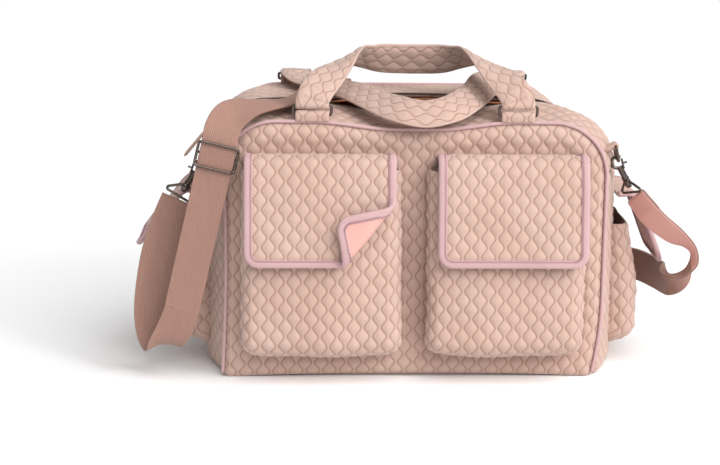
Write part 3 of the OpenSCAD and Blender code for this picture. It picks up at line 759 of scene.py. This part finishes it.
def make_lining():
    p = np.linspace(0, 7, 200)
    parts = []
    x_mid = envelope(p, np.full_like(p, MOUTH_Y))[:, 0]
    half = np.where((p > 2) & (p < 5), lens(x_mid), 0) + 0.5
    for start, stop in (
        (np.full_like(p, -LINING_EDGE), MOUTH_Y - half), (MOUTH_Y + half, np.full_like(p, LINING_EDGE)),
    ):
        yy = start[:, None] + (stop - start)[:, None] * np.linspace(0, 1, 26)[None]
        pp = np.broadcast_to(p[:, None], yy.shape)
        fold = 0.8 * np.sin(pp * 23 + yy * 0.05) * dome((stop[:, None] - yy) / 20)
        base = envelope(pp, yy, LINING_INSET)
        n = outward_normals(base, INSIDE)
        outer, inner = base + n * fold[..., None], base + n * (fold - LINING_THICK)[..., None]
        parts.append(shell("lining_part", outer, inner, np.stack([yy, pp * 120], -1), [lining_mat]))
    corner = 54
    for y, height in ((-92.8, 276), (92.8, 290)):
        tt, zz = np.meshgrid(np.linspace(-1, 1, 60), np.linspace(9, height, 50), indexing="ij")
        over = np.clip(zz - (height - corner), 0, corner)
        x = tt * (200 - (corner - np.sqrt(corner**2 - over**2)))
        fold = 1.2 * wander(x, zz, 21, 70)
        drop = shoulder_drop(x, y, zz)
        x, zz = x - 0.35 * drop, zz - drop
        outer = np.stack([x, y + fold - np.sign(y) * 1.5, zz], -1)
        inner = outer + vec(0, np.sign(y) * LINING_THICK, 0)
        parts.append(shell("lining_part", outer, inner, np.stack([x, zz], -1), [lining_mat]))
    finish_piece(join("lining_cloth", parts), "bag", "lining_cloth", "lining")


# ---------------------------------------------------------------- zip
TAPE_WIDTH = 8.0
TOOTH_PITCH = 1.9
BOX_CORNERS = [(x, y, z) for x in (-1, 1) for y in (-1, 1) for z in (-1, 1)]
BOX_FACES = [[0, 1, 3, 2], [4, 6, 7, 5], [0, 4, 5, 1], [2, 3, 7, 6], [0, 2, 6, 4], [1, 5, 7, 3]]


def make_zip():
    """The two sides of the zip, each a tape with a row of teeth as small boxes."""
    p, run = arc_steps(2.12, 4.88)
    half = lens(envelope(p, np.full_like(p, MOUTH_Y))[:, 0])
    t = np.linspace(0, 1, 9)
    rise = 0.5 + 0.5 * dome(t * 3)[None] * dome((1 - t) * 3)[None]
    across = vec(0, 1, 0)
    for sign, name in ((-1, "front"), (1, "back")):
        y = MOUTH_Y + sign * (half[:, None] + 0.6 + TAPE_WIDTH * t[None])
        base = envelope(np.broadcast_to(p[:, None], y.shape), y)
        n = outward_normals(base, INSIDE)
        tape = shell("tape", base + n * rise[..., None], base + n * (rise - 0.9)[..., None],
                     np.stack([y, np.broadcast_to(run[:, None], y.shape)], -1), [tape_mat])
        verts, faces = [], []
        for k, s in enumerate(np.arange(3 + (sign > 0) * TOOTH_PITCH / 2, run[-1] - 3, TOOTH_PITCH)):
            pk = np.interp(s, run, p)
            yk = MOUTH_Y + sign * (np.interp(s, run, half) + 0.1)
            origin, ahead = (envelope(np.array([q]), np.array([yk]))[0] for q in (pk, pk + 0.004))
            along = unit(ahead - origin)
            up = unit(np.cross(along, across))
            up = up if up[2] > 0 or abs(up[0]) > 0.9 else -up
            for dx, dy, dz in BOX_CORNERS:
                wide = 0.62 if dy * sign < 0 else 0.42
                verts.append(origin + along * dx * wide + across * dy * 1.25 + up * (0.4 + dz * 0.75))
            faces += [[8 * k + c for c in face] for face in BOX_FACES]
        faces = np.array(faces)
        teeth = make("teeth", verts, [faces], [np.zeros((len(faces), 4, 2))], [gunmetal], smooth=False)
        finish_piece(join("zip_side_" + name, [tape, teeth]), "bag", "zip_tape", "zip_tape_" + name)


ZIP_CENTRE = vec(-161, MOUTH_Y, 230)
ZIP_TURN = math.radians(60)
ZIP_REACH = 71.3


def at_zip(x, y, z):
    """A point given in the slider's own frame."""
    c, s = math.cos(ZIP_TURN), math.sin(ZIP_TURN)
    z = z + ZIP_REACH
    return ZIP_CENTRE + vec(x * c - z * s, y, x * s + z * c)


def make_zip_pull():
    """A folded tab on a wire eye, hanging from the slider's bail."""
    start = at_zip(0, 0, 3.9)
    along = unit(vec(-0.64, 0, -0.77))
    side = vec(0, 1, 0)
    out = np.cross(along, side)
    s = np.linspace(10, 44, 24)
    k = 16
    a = np.arange(k) * 2 * PI / k
    rows = []
    for d in s:
        end = min(dome((d - 9.6) / 2.5), dome((44.6 - d) / 3))
        square = np.sign(np.cos(a)) * np.abs(np.cos(a)) ** 0.45
        thick = np.sign(np.sin(a)) * np.abs(np.sin(a)) ** 0.6
        rows.append(start + along * d + side * (square * 5.0 * (0.75 + 0.25 * end))[:, None]
                    + out * (thick * 1.5 * end)[:, None])
    tab = rings_skin("tab", np.array(rows), uv_grid(np.linspace(0, 24, k + 1), s), [pull_mat])
    corners = ((0, -3.6), (0, 3.6), (12.5, 3.0), (12.5, -3.0))
    eye = corner_path([start + along * u + side * v for u, v in corners], 1.6)
    parts = [tab, wire_tube("eye", eye, 0.95, 8)]
    for v in (-3.9, 3.9):
        for d in np.arange(13, 41, 2.6):
            for face in (1.5, -1.5):
                line = [start + along * (d + e) + side * v + out * face for e in (0, 0.8, 1.6)]
                parts.append(tube("stitch", line, 0.22, [thread_peach], 5))
    finish_piece(join("zip_pull_tab", parts), "zip_pull", "pull_tab", "zip_pull")


# ---------------------------------------------------------------- pockets
POCKET_CORNER = 16
POCKET_FOOT = 22
POCKET_WALL = 2.6


def pocket_grid(width, low, high, deep, shallow):
    """A bellows pocket in flat terms: across, out, up and along the cloth; and its rows' lengths."""
    w, foot = width / 2, POCKET_FOOT
    rows = [(low + foot * (1 - math.cos(a)), math.sin(a))
            for a in np.linspace(0, PI / 2, max(8, int(foot * 1.2 / MESH_STEP)))]
    rows += [(z, 1.0) for z in np.linspace(low + foot, high, int((high - low - foot) / MESH_STEP))[1:]]
    rows = np.array(rows)
    depth = np.interp(rows[:, 0], [low, low + 60, high], [deep, deep - 1, shallow])
    run = lengths(np.stack([rows[:, 0], depth * rows[:, 1]], 1))
    grid = []
    t = np.linspace(0, 1, int((width + 2 * deep) / MESH_STEP))
    for (z, share), d in zip(rows, depth):
        d = d * max(share, 0.02)
        ww = w - foot * 0.75 * (1 - share) ** 1.4
        r = min(POCKET_CORNER, d * 0.9)
        arc = [(r - r * math.cos(a), d - r + r * math.sin(a)) for a in np.linspace(0, PI / 2, 9)]
        outline = [vec(-ww + 0.13 * d, 0)] + [vec(-ww + x, y) for x, y in arc]
        outline += [vec(ww - x, y) for x, y in arc[::-1]] + [vec(ww - 0.13 * d, 0)]
        outline = np.array(outline)
        s = lengths(outline)
        x, y = (np.interp(t * s[-1], s, outline[:, c]) for c in (0, 1))
        grid.append(np.stack([x, y, np.full(len(t), z), (t - 0.5) * s[-1]], 1))
    return np.array(grid), run


def make_pocket(name, node, place, width, low, high, deep, shallow, seed):
    grid, run = pocket_grid(width, low, high, deep, shallow)
    p = place(grid[..., 0], grid[..., 1], grid[..., 2])
    middle = place(np.array([0.0]), np.array([-30.0]), np.array([(low + high) / 2]))[0]
    n = outward_normals(p, middle)
    rr = np.broadcast_to(run[:, None], grid.shape[:2])
    across = grid[..., 3]
    u = across + QUILT_START + 1.4
    left = run[-1] - rr
    flat_front = smoothstep((grid[..., 1] - 2) / 10)
    round_off = np.cos(np.clip(across / width, -0.5, 0.5) * PI)
    belly = 3.5 * dome(np.clip(left / 70, 0, 1)) * round_off
    lift = (-1.2 + quilt(u, rr, 2.3) * dome(left / 6) * (0.35 + 0.65 * flat_front)
            + belly * flat_front + 1.3 * wander(across, rr, seed, 95) * flat_front)
    outer, inner = p + n * lift[..., None], p - n * POCKET_WALL
    pocket = shell(name, outer, inner, np.stack([u, rr], -1), [quilted, plain_peach], inner_mat=1)
    finish_piece(pocket, "bag", "quilted_cloth", node, fill_share=0.3)


def front_place(centre):
    return lambda a, d, z: np.stack([a + centre, -99.0 - d, z], -1)


def end_place(sign):
    return lambda a, d, z: np.stack([sign * (219 + d), sign * a, z], -1)


# ---------------------------------------------------------------- flaps
class Flap:
    """A cloth flap that hangs along a side outline: given in flat terms and mapped on. A fold is
    two points of the line where a corner turns up, the roll's radius and its share of half a turn."""

    def __init__(self, outline, width, corner, place, fold, seed, outward):
        self.curve = through([[a, b, 0] for a, b in outline], 1.0)[:, :2]
        self.tangent = unit(np.gradient(self.curve, axis=0))
        self.s = lengths(self.curve)
        self.length = self.s[-1]
        self.width, self.corner, self.place, self.fold, self.seed = width, corner, place, fold, seed
        self.outward = outward

    def at(self, x, q, n):
        """x across, q down from the hinge, n out from the middle of the cloth."""
        x, q, n = (np.asarray(v, float) for v in np.broadcast_arrays(x, q, n))
        n = n + 0.9 * wander(x, q, self.seed, 70) * np.clip(q / 60, 0, 1)
        if self.fold:
            x, q, n = self.turn_up(x, q, n)
        a, b = (np.interp(q, self.s, self.curve[:, c]) for c in (0, 1))
        ta, tb = (np.interp(q, self.s, self.tangent[:, c]) for c in (0, 1))
        size = np.hypot(ta, tb)
        ta, tb = ta / size, tb / size
        n = n * self.outward
        return self.place(x, a - tb * n, b + ta * n)

    def turn_up(self, x, q, n):
        """Rolls the corner beyond the fold line forward and over."""
        (x1, q1), (x2, q2), radius, raised = self.fold
        direction = unit(vec(x2 - x1, q2 - q1))
        away = vec(-direction[1], direction[0])
        if away @ vec(self.width / 2 - x1, self.length - q1) < 0:
            away = -away
        d = (x - x1) * away[0] + (q - q1) * away[1]
        along = (x - x1) * direction[0] + (q - q1) * direction[1]
        reach = np.hypot(x2 - x1, q2 - q1)
        ease = 0.55 + 0.45 * dome(np.minimum(along, reach - along) / 30 + 0.2)
        r = radius * ease
        angle = np.clip(d / r, 0, PI * raised)
        rest = np.maximum(d - angle * r, 0)
        flat = (r - n) * np.sin(angle) + rest * np.cos(angle)
        up = r - (r - n) * np.cos(angle) + rest * np.sin(angle)
        rolled = d > 0
        shift = np.where(rolled, flat - d, 0)
        return x + shift * away[0], q + shift * away[1], np.where(rolled, up, n)

    def rim(self, inset):
        """The free edge, from the hinge down one side, round the bottom and up the other side."""
        w, l, c = self.width / 2 - inset, self.length - inset, self.corner - inset
        left = [vec(-w, q) for q in np.linspace(2, l - c, 60)]
        arc = [vec(-w + c - c * math.cos(a), l - c + c * math.sin(a))
               for a in np.linspace(0, PI / 2, 14)[1:]]
        low = [vec(x, l) for x in np.linspace(-w + c, w - c, 70)[1:]]
        half = left + arc
        return np.array(half + low + [vec(-v[0], v[1]) for v in half[::-1]][1:])


FLAP_THICK = 2.4
TAPE_SECTION = np.array([
    (8.2, 2.3), (7.6, 2.7), (5, 2.9), (2.4, 3.0), (0.4, 2.6), (-0.7, 1.5), (-1.1, 0),
    (-0.7, -1.5), (0.4, -2.4), (2.4, -2.7), (5, -2.6), (7.6, -2.4), (8.2, -2.0), (7.9, 0.2),
])
ZIGZAG_STEP = 1.9
ZIGZAG = (5.4, 7.5)


def make_flap(name, flap, body, node, blend):
    """The quilted cloth with its plain reverse, and the binding tape with its zigzag stitching."""
    w, l, c = flap.width / 2 - 1.2, flap.length - 1.2, flap.corner - 1.2
    q = np.r_[np.linspace(0, l - c, int((l - c) / MESH_STEP)),
              l - c + c * np.sin(np.linspace(0, PI / 2, int(c * 1.5 / MESH_STEP))[1:])]
    cut = np.where(q > l - c, c - np.sqrt(np.maximum(c**2 - (q - (l - c)) ** 2, 0)), 0)
    t = np.linspace(-1, 1, int(2 * w / MESH_STEP))
    x = (w - cut)[:, None] * t[None]
    qq = np.broadcast_to(q[:, None], x.shape)
    u, v = x + QUILT_START, qq + 7
    edge = np.minimum(w - cut[:, None] - np.abs(x), l - qq)
    fall = dome(np.clip(edge - 5.5, 0, 9) / 9) * dome(qq / 8)
    front = flap.at(x, qq, FLAP_THICK * 0.45 + quilt(u, v, 2.2) * fall)
    back = flap.at(x, qq, np.full_like(x, -FLAP_THICK * 0.6))
    cloth = shell(name, front, back, np.stack([u, v], -1), [quilted, coral], inner_mat=1)
    finish_piece(cloth, body, "quilted_cloth", node, fill_share=0.3, blend=blend)

    path = flap.rim(0.8)
    direction = unit(np.gradient(path, axis=0))
    inward = np.stack([direction[:, 1], -direction[:, 0]], 1)
    if inward[0][0] < 0:
        inward = -inward
    run = lengths(path)
    pucker = 0.16 * np.sin(2 * PI * run / 5.3) + 0.12 * np.sin(2 * PI * run / 3.7 + 1)
    deep, rise = TAPE_SECTION.T
    x, qv = (path[:, c:c + 1] + inward[:, c:c + 1] * deep[None] for c in (0, 1))
    p = flap.at(x, qv, rise[None] + pucker[:, None] * np.sign(rise[None]))
    around = lengths(np.vstack([TAPE_SECTION, TAPE_SECTION[:1]]))
    parts = [rings_skin("tape", p, uv_grid(around, run), [pink])]
    s = np.arange(2, run[-1] - 2, ZIGZAG_STEP)
    px, pq, ix, iq = (np.interp(s, run, a) for a in (*path.T, *inward.T))
    deep = np.where(np.arange(len(s)) % 2, *ZIGZAG)
    for side_n in (3.05, -2.75):
        zig = flap.at(px + ix * deep, pq + iq * deep, np.full(len(s), side_n))
        parts.append(tube("zig", fill(zig, 1.2), 0.33, [thread_mat], 5))
    finish_piece(join(name + "_binding", parts), body, "binding_tape", node + "_binding", blend=blend)


FRONT_FLAP = [(-101.5, 248.2), (-108, 249.3), (-116, 251), (-125.5, 247.4), (-130.2, 240), (-136, 215),
              (-142, 175), (-147.5, 135.5)]
END_FLAP = [(-7, 0), (0, 0), (5, -0.6), (10.5, -3), (15, -8.5), (18.5, -25), (26.5, -89)]


def make_flaps():
    turned_up = ((83, 57), (16, 139), 5.5, 0.97)
    for side, centre, fold, seed in (("left", -102, turned_up, 31), ("right", 105, None, 32)):
        def place(x, a, b, centre=centre):
            return np.stack([x + centre, a, b], -1)

        flap = Flap(FRONT_FLAP, 162, 16, place, fold, seed, -1)
        blend = ((centre * MM, -0.1035, 0.250), (centre * MM, -0.113, 0.250))
        make_flap("flap_" + side + "_cloth", flap, "front_flap_" + side, "flap_" + side, blend)


def make_end_flaps():
    for sign, side, lift, seed in ((-1, "left", 32, 33), (1, "right", 14, 34)):
        def place(x, a, b, sign=sign, turn=math.radians(lift)):
            keep = smoothstep((a + 2) / 6)
            a2 = a * math.cos(turn) - b * math.sin(turn)
            b2 = a * math.sin(turn) + b * math.cos(turn)
            out, up = 237 + a + (a2 - a) * keep, 197 + b + (b2 - b) * keep
            return np.stack([sign * out, sign * x, up], -1)

        flap = Flap(END_FLAP, 102, 18, place, None, seed, 1)
        blend = ((sign * 0.235, 0, 0.197), (sign * 0.242, 0, 0.197))
        make_flap("end_flap_" + side + "_cloth", flap, "end_flap_" + side, "flap_end_" + side, blend)


# ---------------------------------------------------------------- handles
# As for the strap: a place, then a direction across. The front handle's right half mirrors its left.
FRONT_HALF = [
    [-111, -97, 299, 1, 0, 0], [-111, -97, 303, 1, 0, 0],
    [-111, -97, 306, 1, 0, 0], [-109, -95, 313, 1, 0, -0.1], [-103, -88, 322, 0.97, 0, -0.2],
    [-94, -74, 331, 0.98, -0.1, -0.15], [-83, -53, 340, 0.85, -0.5, 0.05],
    [-73, -31, 346, 0.5, -0.75, 0.3],
    [-63, -10, 347, 0.4, -0.7, 0.6], [-50, 4, 344, 0.33, -0.55, 0.75], [-33, 11, 341, 0.2, -0.35, 0.92],
    [-14, 14, 340, 0.05, -0.33, 0.95],
]
BACK_STATIONS = [
    [-131, 82.5, 312, -1, 0, 0], [-131, 79, 314.5, -1, 0, 0],
    [-131, 75, 316, -1, 0, 0], [-127, 50, 316, -0.98, -0.2, 0], [-118, 28, 314, -0.85, -0.5, -0.1],
    [-101, 6, 313, -0.65, -0.7, -0.15], [-83, -16, 312, -0.5, -0.8, -0.25],
    [-63, -44, 310, -0.45, -0.8, -0.35], [-41, -77, 305, -0.35, -0.8, -0.4],
    [-16, -102, 300, -0.2, -0.75, -0.62], [10, -108, 296, 0, -0.72, -0.69],
    [35, -102, 300, 0.2, -0.75, -0.62], [55, -79, 306, 0.3, -0.8, -0.45],
    [71, -47, 312, 0.5, -0.75, -0.35],
    [82, -10, 318, 0.7, -0.65, -0.3], [94, 24, 319, 0.87, -0.45, -0.2], [108, 54, 317, 0.97, -0.2, 0],
    [118, 75, 316, 1, 0, 0], [118, 79, 314.5, 1, 0, 0], [118, 82.5, 312, 1, 0, 0],
]


HANDLE_HALF = 18.0
ROLL = 4.6
SEAM_IN = 3.4


def make_handle(name, node, body, stations):
    """A quilted band with a rolled end on each ring and two stitched edges."""
    frames = band_frames(stations, MESH_STEP)
    path, side, out, run = frames
    across = np.linspace(-HANDLE_HALF, HANDLE_HALF, 25)
    from_edge = HANDLE_HALF - np.abs(across)
    end = np.minimum(run, run[-1] - run)
    doubled = 1 - smoothstep((end - 25) / 1.6)
    roll = np.where(end < ROLL, np.sqrt(np.maximum(ROLL**2 - (ROLL - end) ** 2, 0.02)), ROLL)
    core = 1.75 + doubled * 1.2
    rolled = np.minimum(roll, ROLL + (core - ROLL) * smoothstep((end - ROLL) / 5))
    core = np.where(end < 10, rolled, core)[:, None]
    crown = dome(from_edge / 3.2)[None]
    groove = 0.5 * np.exp(-(from_edge - SEAM_IN) ** 2 / 0.5)[None]
    u, v = across[None] + QUILT_START + 1, run[:, None] + 3
    q = quilt(u, v, 1.7) * dome((from_edge - SEAM_IN) / 3)[None]
    q = q * np.clip((end - 7) / 6, 0, 1)[:, None]
    half = core * (0.45 + 0.55 * crown) + q * 0.75 - groove * np.clip(end / 6, 0, 1)[:, None]
    soft = 0.5 * wander(across[None], run[:, None], 41, 60)
    front, back = band_face(frames, across, half + soft), band_face(frames, across, soft - half)
    parts = [shell(name, front, back, uv_grid(across + QUILT_START + 1, run + 3), [quilted])]

    def at(i, c, face, above):
        return path[i] + side[i] * across[c] + out[i] * (face * (half[i, c] + above) + soft[i, c])

    def column(x):
        return int(np.argmin(np.abs(across - x)))

    dashes = []
    for face in (1, -1):
        for c in (column(-HANDLE_HALF + SEAM_IN), column(HANDLE_HALF - SEAM_IN)):
            for k in range(6, len(path) - 6, 2):
                dashes.append([at(i, c, face, 0.1) for i in (k, k + 1)])
    parts.append(dash_mesh(name + "_thread", dashes, 0.3))
    low, high = column(-9), column(9)
    near, far = np.searchsorted(run, 11), np.searchsorted(run, 23.5)
    for start in (0, 1):
        for face in (1, -1):
            ids = np.arange(near, far)
            if start:
                ids = len(run) - 1 - ids
            box = [(i, low) for i in ids] + [(ids[-1], c) for c in range(low, high + 1)]
            box += [(i, high) for i in ids[::-1]] + [(ids[0], c) for c in range(high, low - 1, -1)]
            pts = [at(i, c, face, 0.15) for i, c in box]
            pairs = [pts[k:k + 2] for k in range(0, len(pts) - 1, 2)]
            parts.append(dash_mesh("box_thread", pairs, 0.3))
    finish_piece(join(name, parts), body, "quilted_cloth", node, fill_share=0.5)


def dash_mesh(name, lines, radius):
    """Many short stitches as one mesh."""
    verts, faces = [], []
    for a, b in lines:
        d = unit(b - a)
        a, b = a + (b - a) * 0.12, b - (b - a) * 0.12
        s = unit(np.cross(d, vec(0.3, 0.5, 0.81)))
        o = np.cross(d, s)
        c = len(verts)
        for end in (a, b):
            for k in range(4):
                verts.append(end + (s * math.cos(k * PI / 2) + o * math.sin(k * PI / 2)) * radius)
        faces += [[c + k, c + (k + 1) % 4, c + 4 + (k + 1) % 4, c + 4 + k] for k in range(4)]
        faces += [[c + 3, c + 2, c + 1, c], [c + 4, c + 5, c + 6, c + 7]]
    faces = np.array(faces)
    return make(name, verts, [faces], [np.zeros((len(faces), 4, 2))], [thread_peach])


def make_handles():
    right = [[-x, y, z, -sx, sy, sz] for x, y, z, sx, sy, sz in FRONT_HALF[::-1]]
    make_handle("handle_front_band", "handle_front", "front_handle", FRONT_HALF + right)
    make_handle("handle_back_band", "handle_back", "back_handle", BACK_STATIONS)


# ---------------------------------------------------------------- rings and tabs
WIRE = 1.5
# The rings' places in x, their lower bars' y and z, and their tilt in degrees.
HANDLE_RINGS = {"front": ([-111, 111], -97, 292.5, 0), "back": ([-131, 118], 86, 307, 45)}
# Where each snap hook hangs in its end ring.
BOWS = {"left": vec(-236, -72, 230), "right": vec(225, -72, 238)}
RING_LEANS = {"left": math.radians(20), "right": math.radians(-12)}
RING_HEIGHT = 17
X, Y = vec(1, 0, 0), vec(0, 1, 0)


def tilted(angle):
    """The direction up, leaned by the angle towards +x."""
    return vec(math.sin(angle), 0, math.cos(angle))


def ring_outline(w, h, origin, u, v):
    """A rounded wire rectangle from its lower bar's middle at origin."""
    pts = [origin + u * (a * w / 2) + v * b for a, b in ((-1, 0), (1, 0), (1, h), (-1, h))]
    return corner_path(pts, 2.6)


def make_rings():
    """The wire rings of the two handles and of the two ends."""
    for place, (places, y, z, tilt) in HANDLE_RINGS.items():
        a = math.radians(tilt)
        up = vec(0, -math.sin(a), math.cos(a))
        parts = [wire_tube("wire", ring_outline(41, 11, vec(x, y, z), X, up), WIRE) for x in places]
        rings = join("rings_" + place + "_wire", parts)
        finish_piece(rings, place + "_handle", "gunmetal", "rings_" + place)
    for side, bow in BOWS.items():
        outline = ring_outline(20, RING_HEIGHT, bow + vec(0, 0, 2.6), Y, tilted(RING_LEANS[side]))
        ring = wire_tube("end_ring_" + side + "_wire", outline, WIRE)
        finish_piece(ring, "bag", "gunmetal", "end_ring_" + side)


def seam_closed(u, v):
    """Texture places of a closed ring of points, with its first column again at the end."""
    uv = np.stack([u, v], -1)
    return np.concatenate([uv, uv[:, :1]], 1)


def make_roll(place, drop):
    """Cloth tabs that hold the handle rings' lower bars, sewn down at the edge of the top."""
    places, y0, z0, _ = HANDLE_RINGS[place]
    outline = [vec(-4.2, -drop), vec(-4.9, -drop * 0.5)]
    outline += [vec(-5.2 * math.cos(a), 5.4 * math.sin(a)) for a in np.linspace(0, PI, 18)]
    outline += [vec(4.9, -drop * 0.5), vec(4.2, -drop)]
    outline = fill(np.array(outline), 1.4)
    t = unit(np.gradient(outline, axis=0))
    n = np.stack([-t[:, 1], t[:, 0]], 1)
    xx, ss = np.meshgrid(np.linspace(-18, 18, 26), lengths(outline), indexing="ij")
    side = dome((18 - np.abs(xx)) / 2.5)
    u = xx + QUILT_START + 1
    lift = -1.0 + 0.4 * side + quilt(u, ss, 0.7) * side
    y, z = (outline[None, :, c] + n[None, :, c] * lift for c in (0, 1))
    parts = [rings_skin("roll", np.stack([x0 + xx, y0 + y, z0 + z], -1), seam_closed(u, ss), [quilted])
             for x0 in places]
    tabs = join("tabs_" + place + "_cloth", parts)
    finish_piece(tabs, "bag", "quilted_cloth", "tabs_" + place, fill_share=0.5)


def make_ring_tabs():
    """Cloth loops that hold the end rings, sewn to the bag's shoulders."""
    for side, angle, reach in (("left", -15.7, 18), ("right", 204, 13)):
        bar = BOWS[side] + vec(0, 0, 2.6) + tilted(RING_LEANS[side]) * RING_HEIGHT
        b = math.radians(angle)
        along, out = vec(math.cos(b), 0, math.sin(b)), tilted(-b)
        arc = np.linspace(PI * 0.4, PI * 1.6, 16)
        outline = [vec(reach + 2, 1.7)] + [vec(3.6 * math.cos(t), 3.6 * math.sin(t)) for t in arc]
        outline = fill(np.array(outline + [vec(reach + 2, -1.7)]), 1.2)
        yy, ss = np.meshgrid(np.linspace(-7, 7, 12), lengths(outline), indexing="ij")
        squeeze = 1 - 0.22 * (1 - dome((7 - np.abs(yy)) / 1.5))
        p = (bar + along * outline[None, :, 0:1] + out * (outline[None, :, 1:2] * squeeze[..., None])
             + Y * yy[..., None])
        uv = seam_closed(yy + QUILT_START, ss)
        piece = rings_skin("ring_tab_" + side + "_cloth", p, uv, [plain_peach])
        finish_piece(piece, "bag", "quilted_cloth", "ring_tab_" + side, fill_share=0.3)


# ---------------------------------------------------------------- hardware
# Rings of the hook's turning eye: how far down from the bow, and the radius.
EYE_ROWS = ((21.7, 3.2), (22.1, 4.1), (25, 4.4), (29, 4.1), (29.5, 3.2))
EYE_SIDES = 20


def make_strap_loops():
    """The wire loop and turning eye of each snap hook, in the hook's own tilted directions."""
    a = np.arange(EYE_SIDES)[:, None] * 2 * PI / EYE_SIDES
    for side, tilt, turn in (("left", 32, 0), ("right", -28, -60)):
        tilt, turn = math.radians(tilt), math.radians(turn)
        down = -tilted(tilt)
        x = vec(math.cos(tilt), 0, -math.sin(tilt))
        u = x * math.cos(turn) + Y * math.sin(turn)
        v = -x * math.sin(turn) + Y * math.cos(turn)
        corners = ((-4, 24.2), (4, 24.2), (20.5, 38), (-20.5, 38))
        loop = corner_path([BOWS[side] + down * d + u * c for c, d in corners], 2.2)
        oval = u * 1.05 * np.cos(a) + v * 0.9 * np.sin(a)
        rows = [BOWS[side] + down * d + oval * r for d, r in EYE_ROWS]
        flat = np.zeros((len(rows), EYE_SIDES + 1, 2))
        parts = [wire_tube("wire", loop, WIRE), rings_skin("eye", np.array(rows), flat, [gunmetal])]
        name = "strap_loop_" + side
        finish_piece(join(name + "_wire", parts), "bag", "gunmetal", name)


# The strap's adjuster: its middle, its lean along the strand and its half-width.
SLIDER_AT = vec(-212.1, -122, 251)
SLIDER_TILT = math.atan2(30, 128)
SLIDER_HALF = 21.5
BAR_DEPTH = 4.0


def make_strap_slider():
    up = tilted(SLIDER_TILT)
    x = vec(math.cos(SLIDER_TILT), 0, -math.sin(SLIDER_TILT))
    outline = [SLIDER_AT + x * (a * SLIDER_HALF) + up * (b * 13.4) - Y * 1.6
               for a, b in ((-1, -1), (1, -1), (1, 1), (-1, 1))]
    edge = corner_path(outline, 4.0)
    edge = edge - Y * (2.4 * smoothstep((np.abs((edge - SLIDER_AT) @ up) - 9) / 3))[:, None]
    half = [(SLIDER_HALF, -1.6), (SLIDER_HALF, 1.5), (SLIDER_HALF - 1.5, BAR_DEPTH)]
    steps = [(-a, b) for a, b in half] + [(0, BAR_DEPTH)] + half[::-1]
    bar = through(np.array([SLIDER_AT + x * a + Y * b for a, b in steps]), 1.5)
    parts = [wire_tube("frame", edge, 1.55), wire_tube("bar", bar, 1.4, 10, False)]
    finish_piece(join("strap_slider_frame", parts), "strap_slider", "gunmetal", "strap_slider")


def dress_cad_nodes():
    """The CAD pieces that stay in view get their finishes."""
    metal = ("zip_slider", "hook_left", "hook_right", "gate_left", "gate_right")
    finishes = [("base_board", board_mat, "board")] + [(n, gunmetal, "gunmetal") for n in metal]
    for node, mat, slot in finishes:
        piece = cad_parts[node]
        for s in piece.material_slots:
            s.material = mat


# ---------------------------------------------------------------- assembly
make_gussets()
make_panel("front_panel_cloth", "front_panel", -100, -1, FRONT_HEIGHT)
make_panel("back_panel_cloth", "back_panel", 100, 1, BACK_HEIGHT)
make_piping("front_piping_cord", "front_piping", -98.2, -1, FRONT_HEIGHT)
make_piping("back_piping_cord", "back_piping", 98.4, 1, BACK_HEIGHT)
make_base()
make_lining()
make_zip()
make_zip_pull()
# Width, low and high ends, and depth at the foot and at the mouth.
FRONT_POCKET = (172, 30, 236, 40, 24)
END_POCKET = (110, 24, 164, 38, 26)
make_pocket("pocket_left_cloth", "pocket_left", front_place(-101), *FRONT_POCKET, 51)
make_pocket("pocket_right_cloth", "pocket_right", front_place(99), *FRONT_POCKET, 52)
make_pocket("end_pocket_left_cloth", "pocket_end_left", end_place(-1), *END_POCKET, 53)
make_pocket("end_pocket_right_cloth", "pocket_end_right", end_place(1), *END_POCKET, 54)
make_flaps()
make_end_flaps()
make_handles()
make_rings()
make_roll("front", 7.0)
make_roll("back", 9.0)
make_ring_tabs()
make_strap_loops()
make_strap_slider()
dress_cad_nodes()


# ---------------------------------------------------------------- stage
def make_stage():
    s = Shader("floor_white", Base_Color=(0.93, 0.93, 0.93, 1), Roughness=0.9)
    faint = s.ramp(s.noise(3, 2), 0.3, 0.7)
    s.done(s.mix(s.math("MULTIPLY", faint, 0.03), (0.93, 0.93, 0.93), (0.9, 0.9, 0.9)))
    size = 40.0
    mesh = bpy.data.meshes.new("floor")
    corners = [(-size, -size, 0), (size, -size, 0), (size, size, 0), (-size, size, 0)]
    mesh.from_pydata(corners, [], [(0, 1, 2, 3)])
    mesh.materials.append(s.mat)
    floor = bpy.data.objects.new("floor", mesh)
    bpy.context.scene.collection.objects.link(floor)

    world = bpy.data.worlds.new("studio")
    world.use_nodes = True
    world.node_tree.nodes["Background"].inputs[0].default_value = (1, 1, 1, 1)
    world.node_tree.nodes["Background"].inputs[1].default_value = 0.4
    bpy.context.scene.world = world

    for name, kind, at, size, power in (
        ("sky", "SUN", (1.3, -1.7, 2.3), 1.2, 3.1),
        ("key", "AREA", (1.5, -1.6, 1.5), 0.6, 18),
    ):
        data = bpy.data.lights.new(name, kind)
        data.energy = power
        if kind == "SUN":
            data.angle = size
        else:
            data.size = size
        lamp = bpy.data.objects.new(name, data)
        lamp.location = at
        lamp.rotation_euler = (Vector((0, 0, 0.13)) - Vector(at)).to_track_quat("-Z", "Y").to_euler()
        bpy.context.scene.collection.objects.link(lamp)


make_stage()
bpy.context.scene.view_settings.view_transform = "Standard"
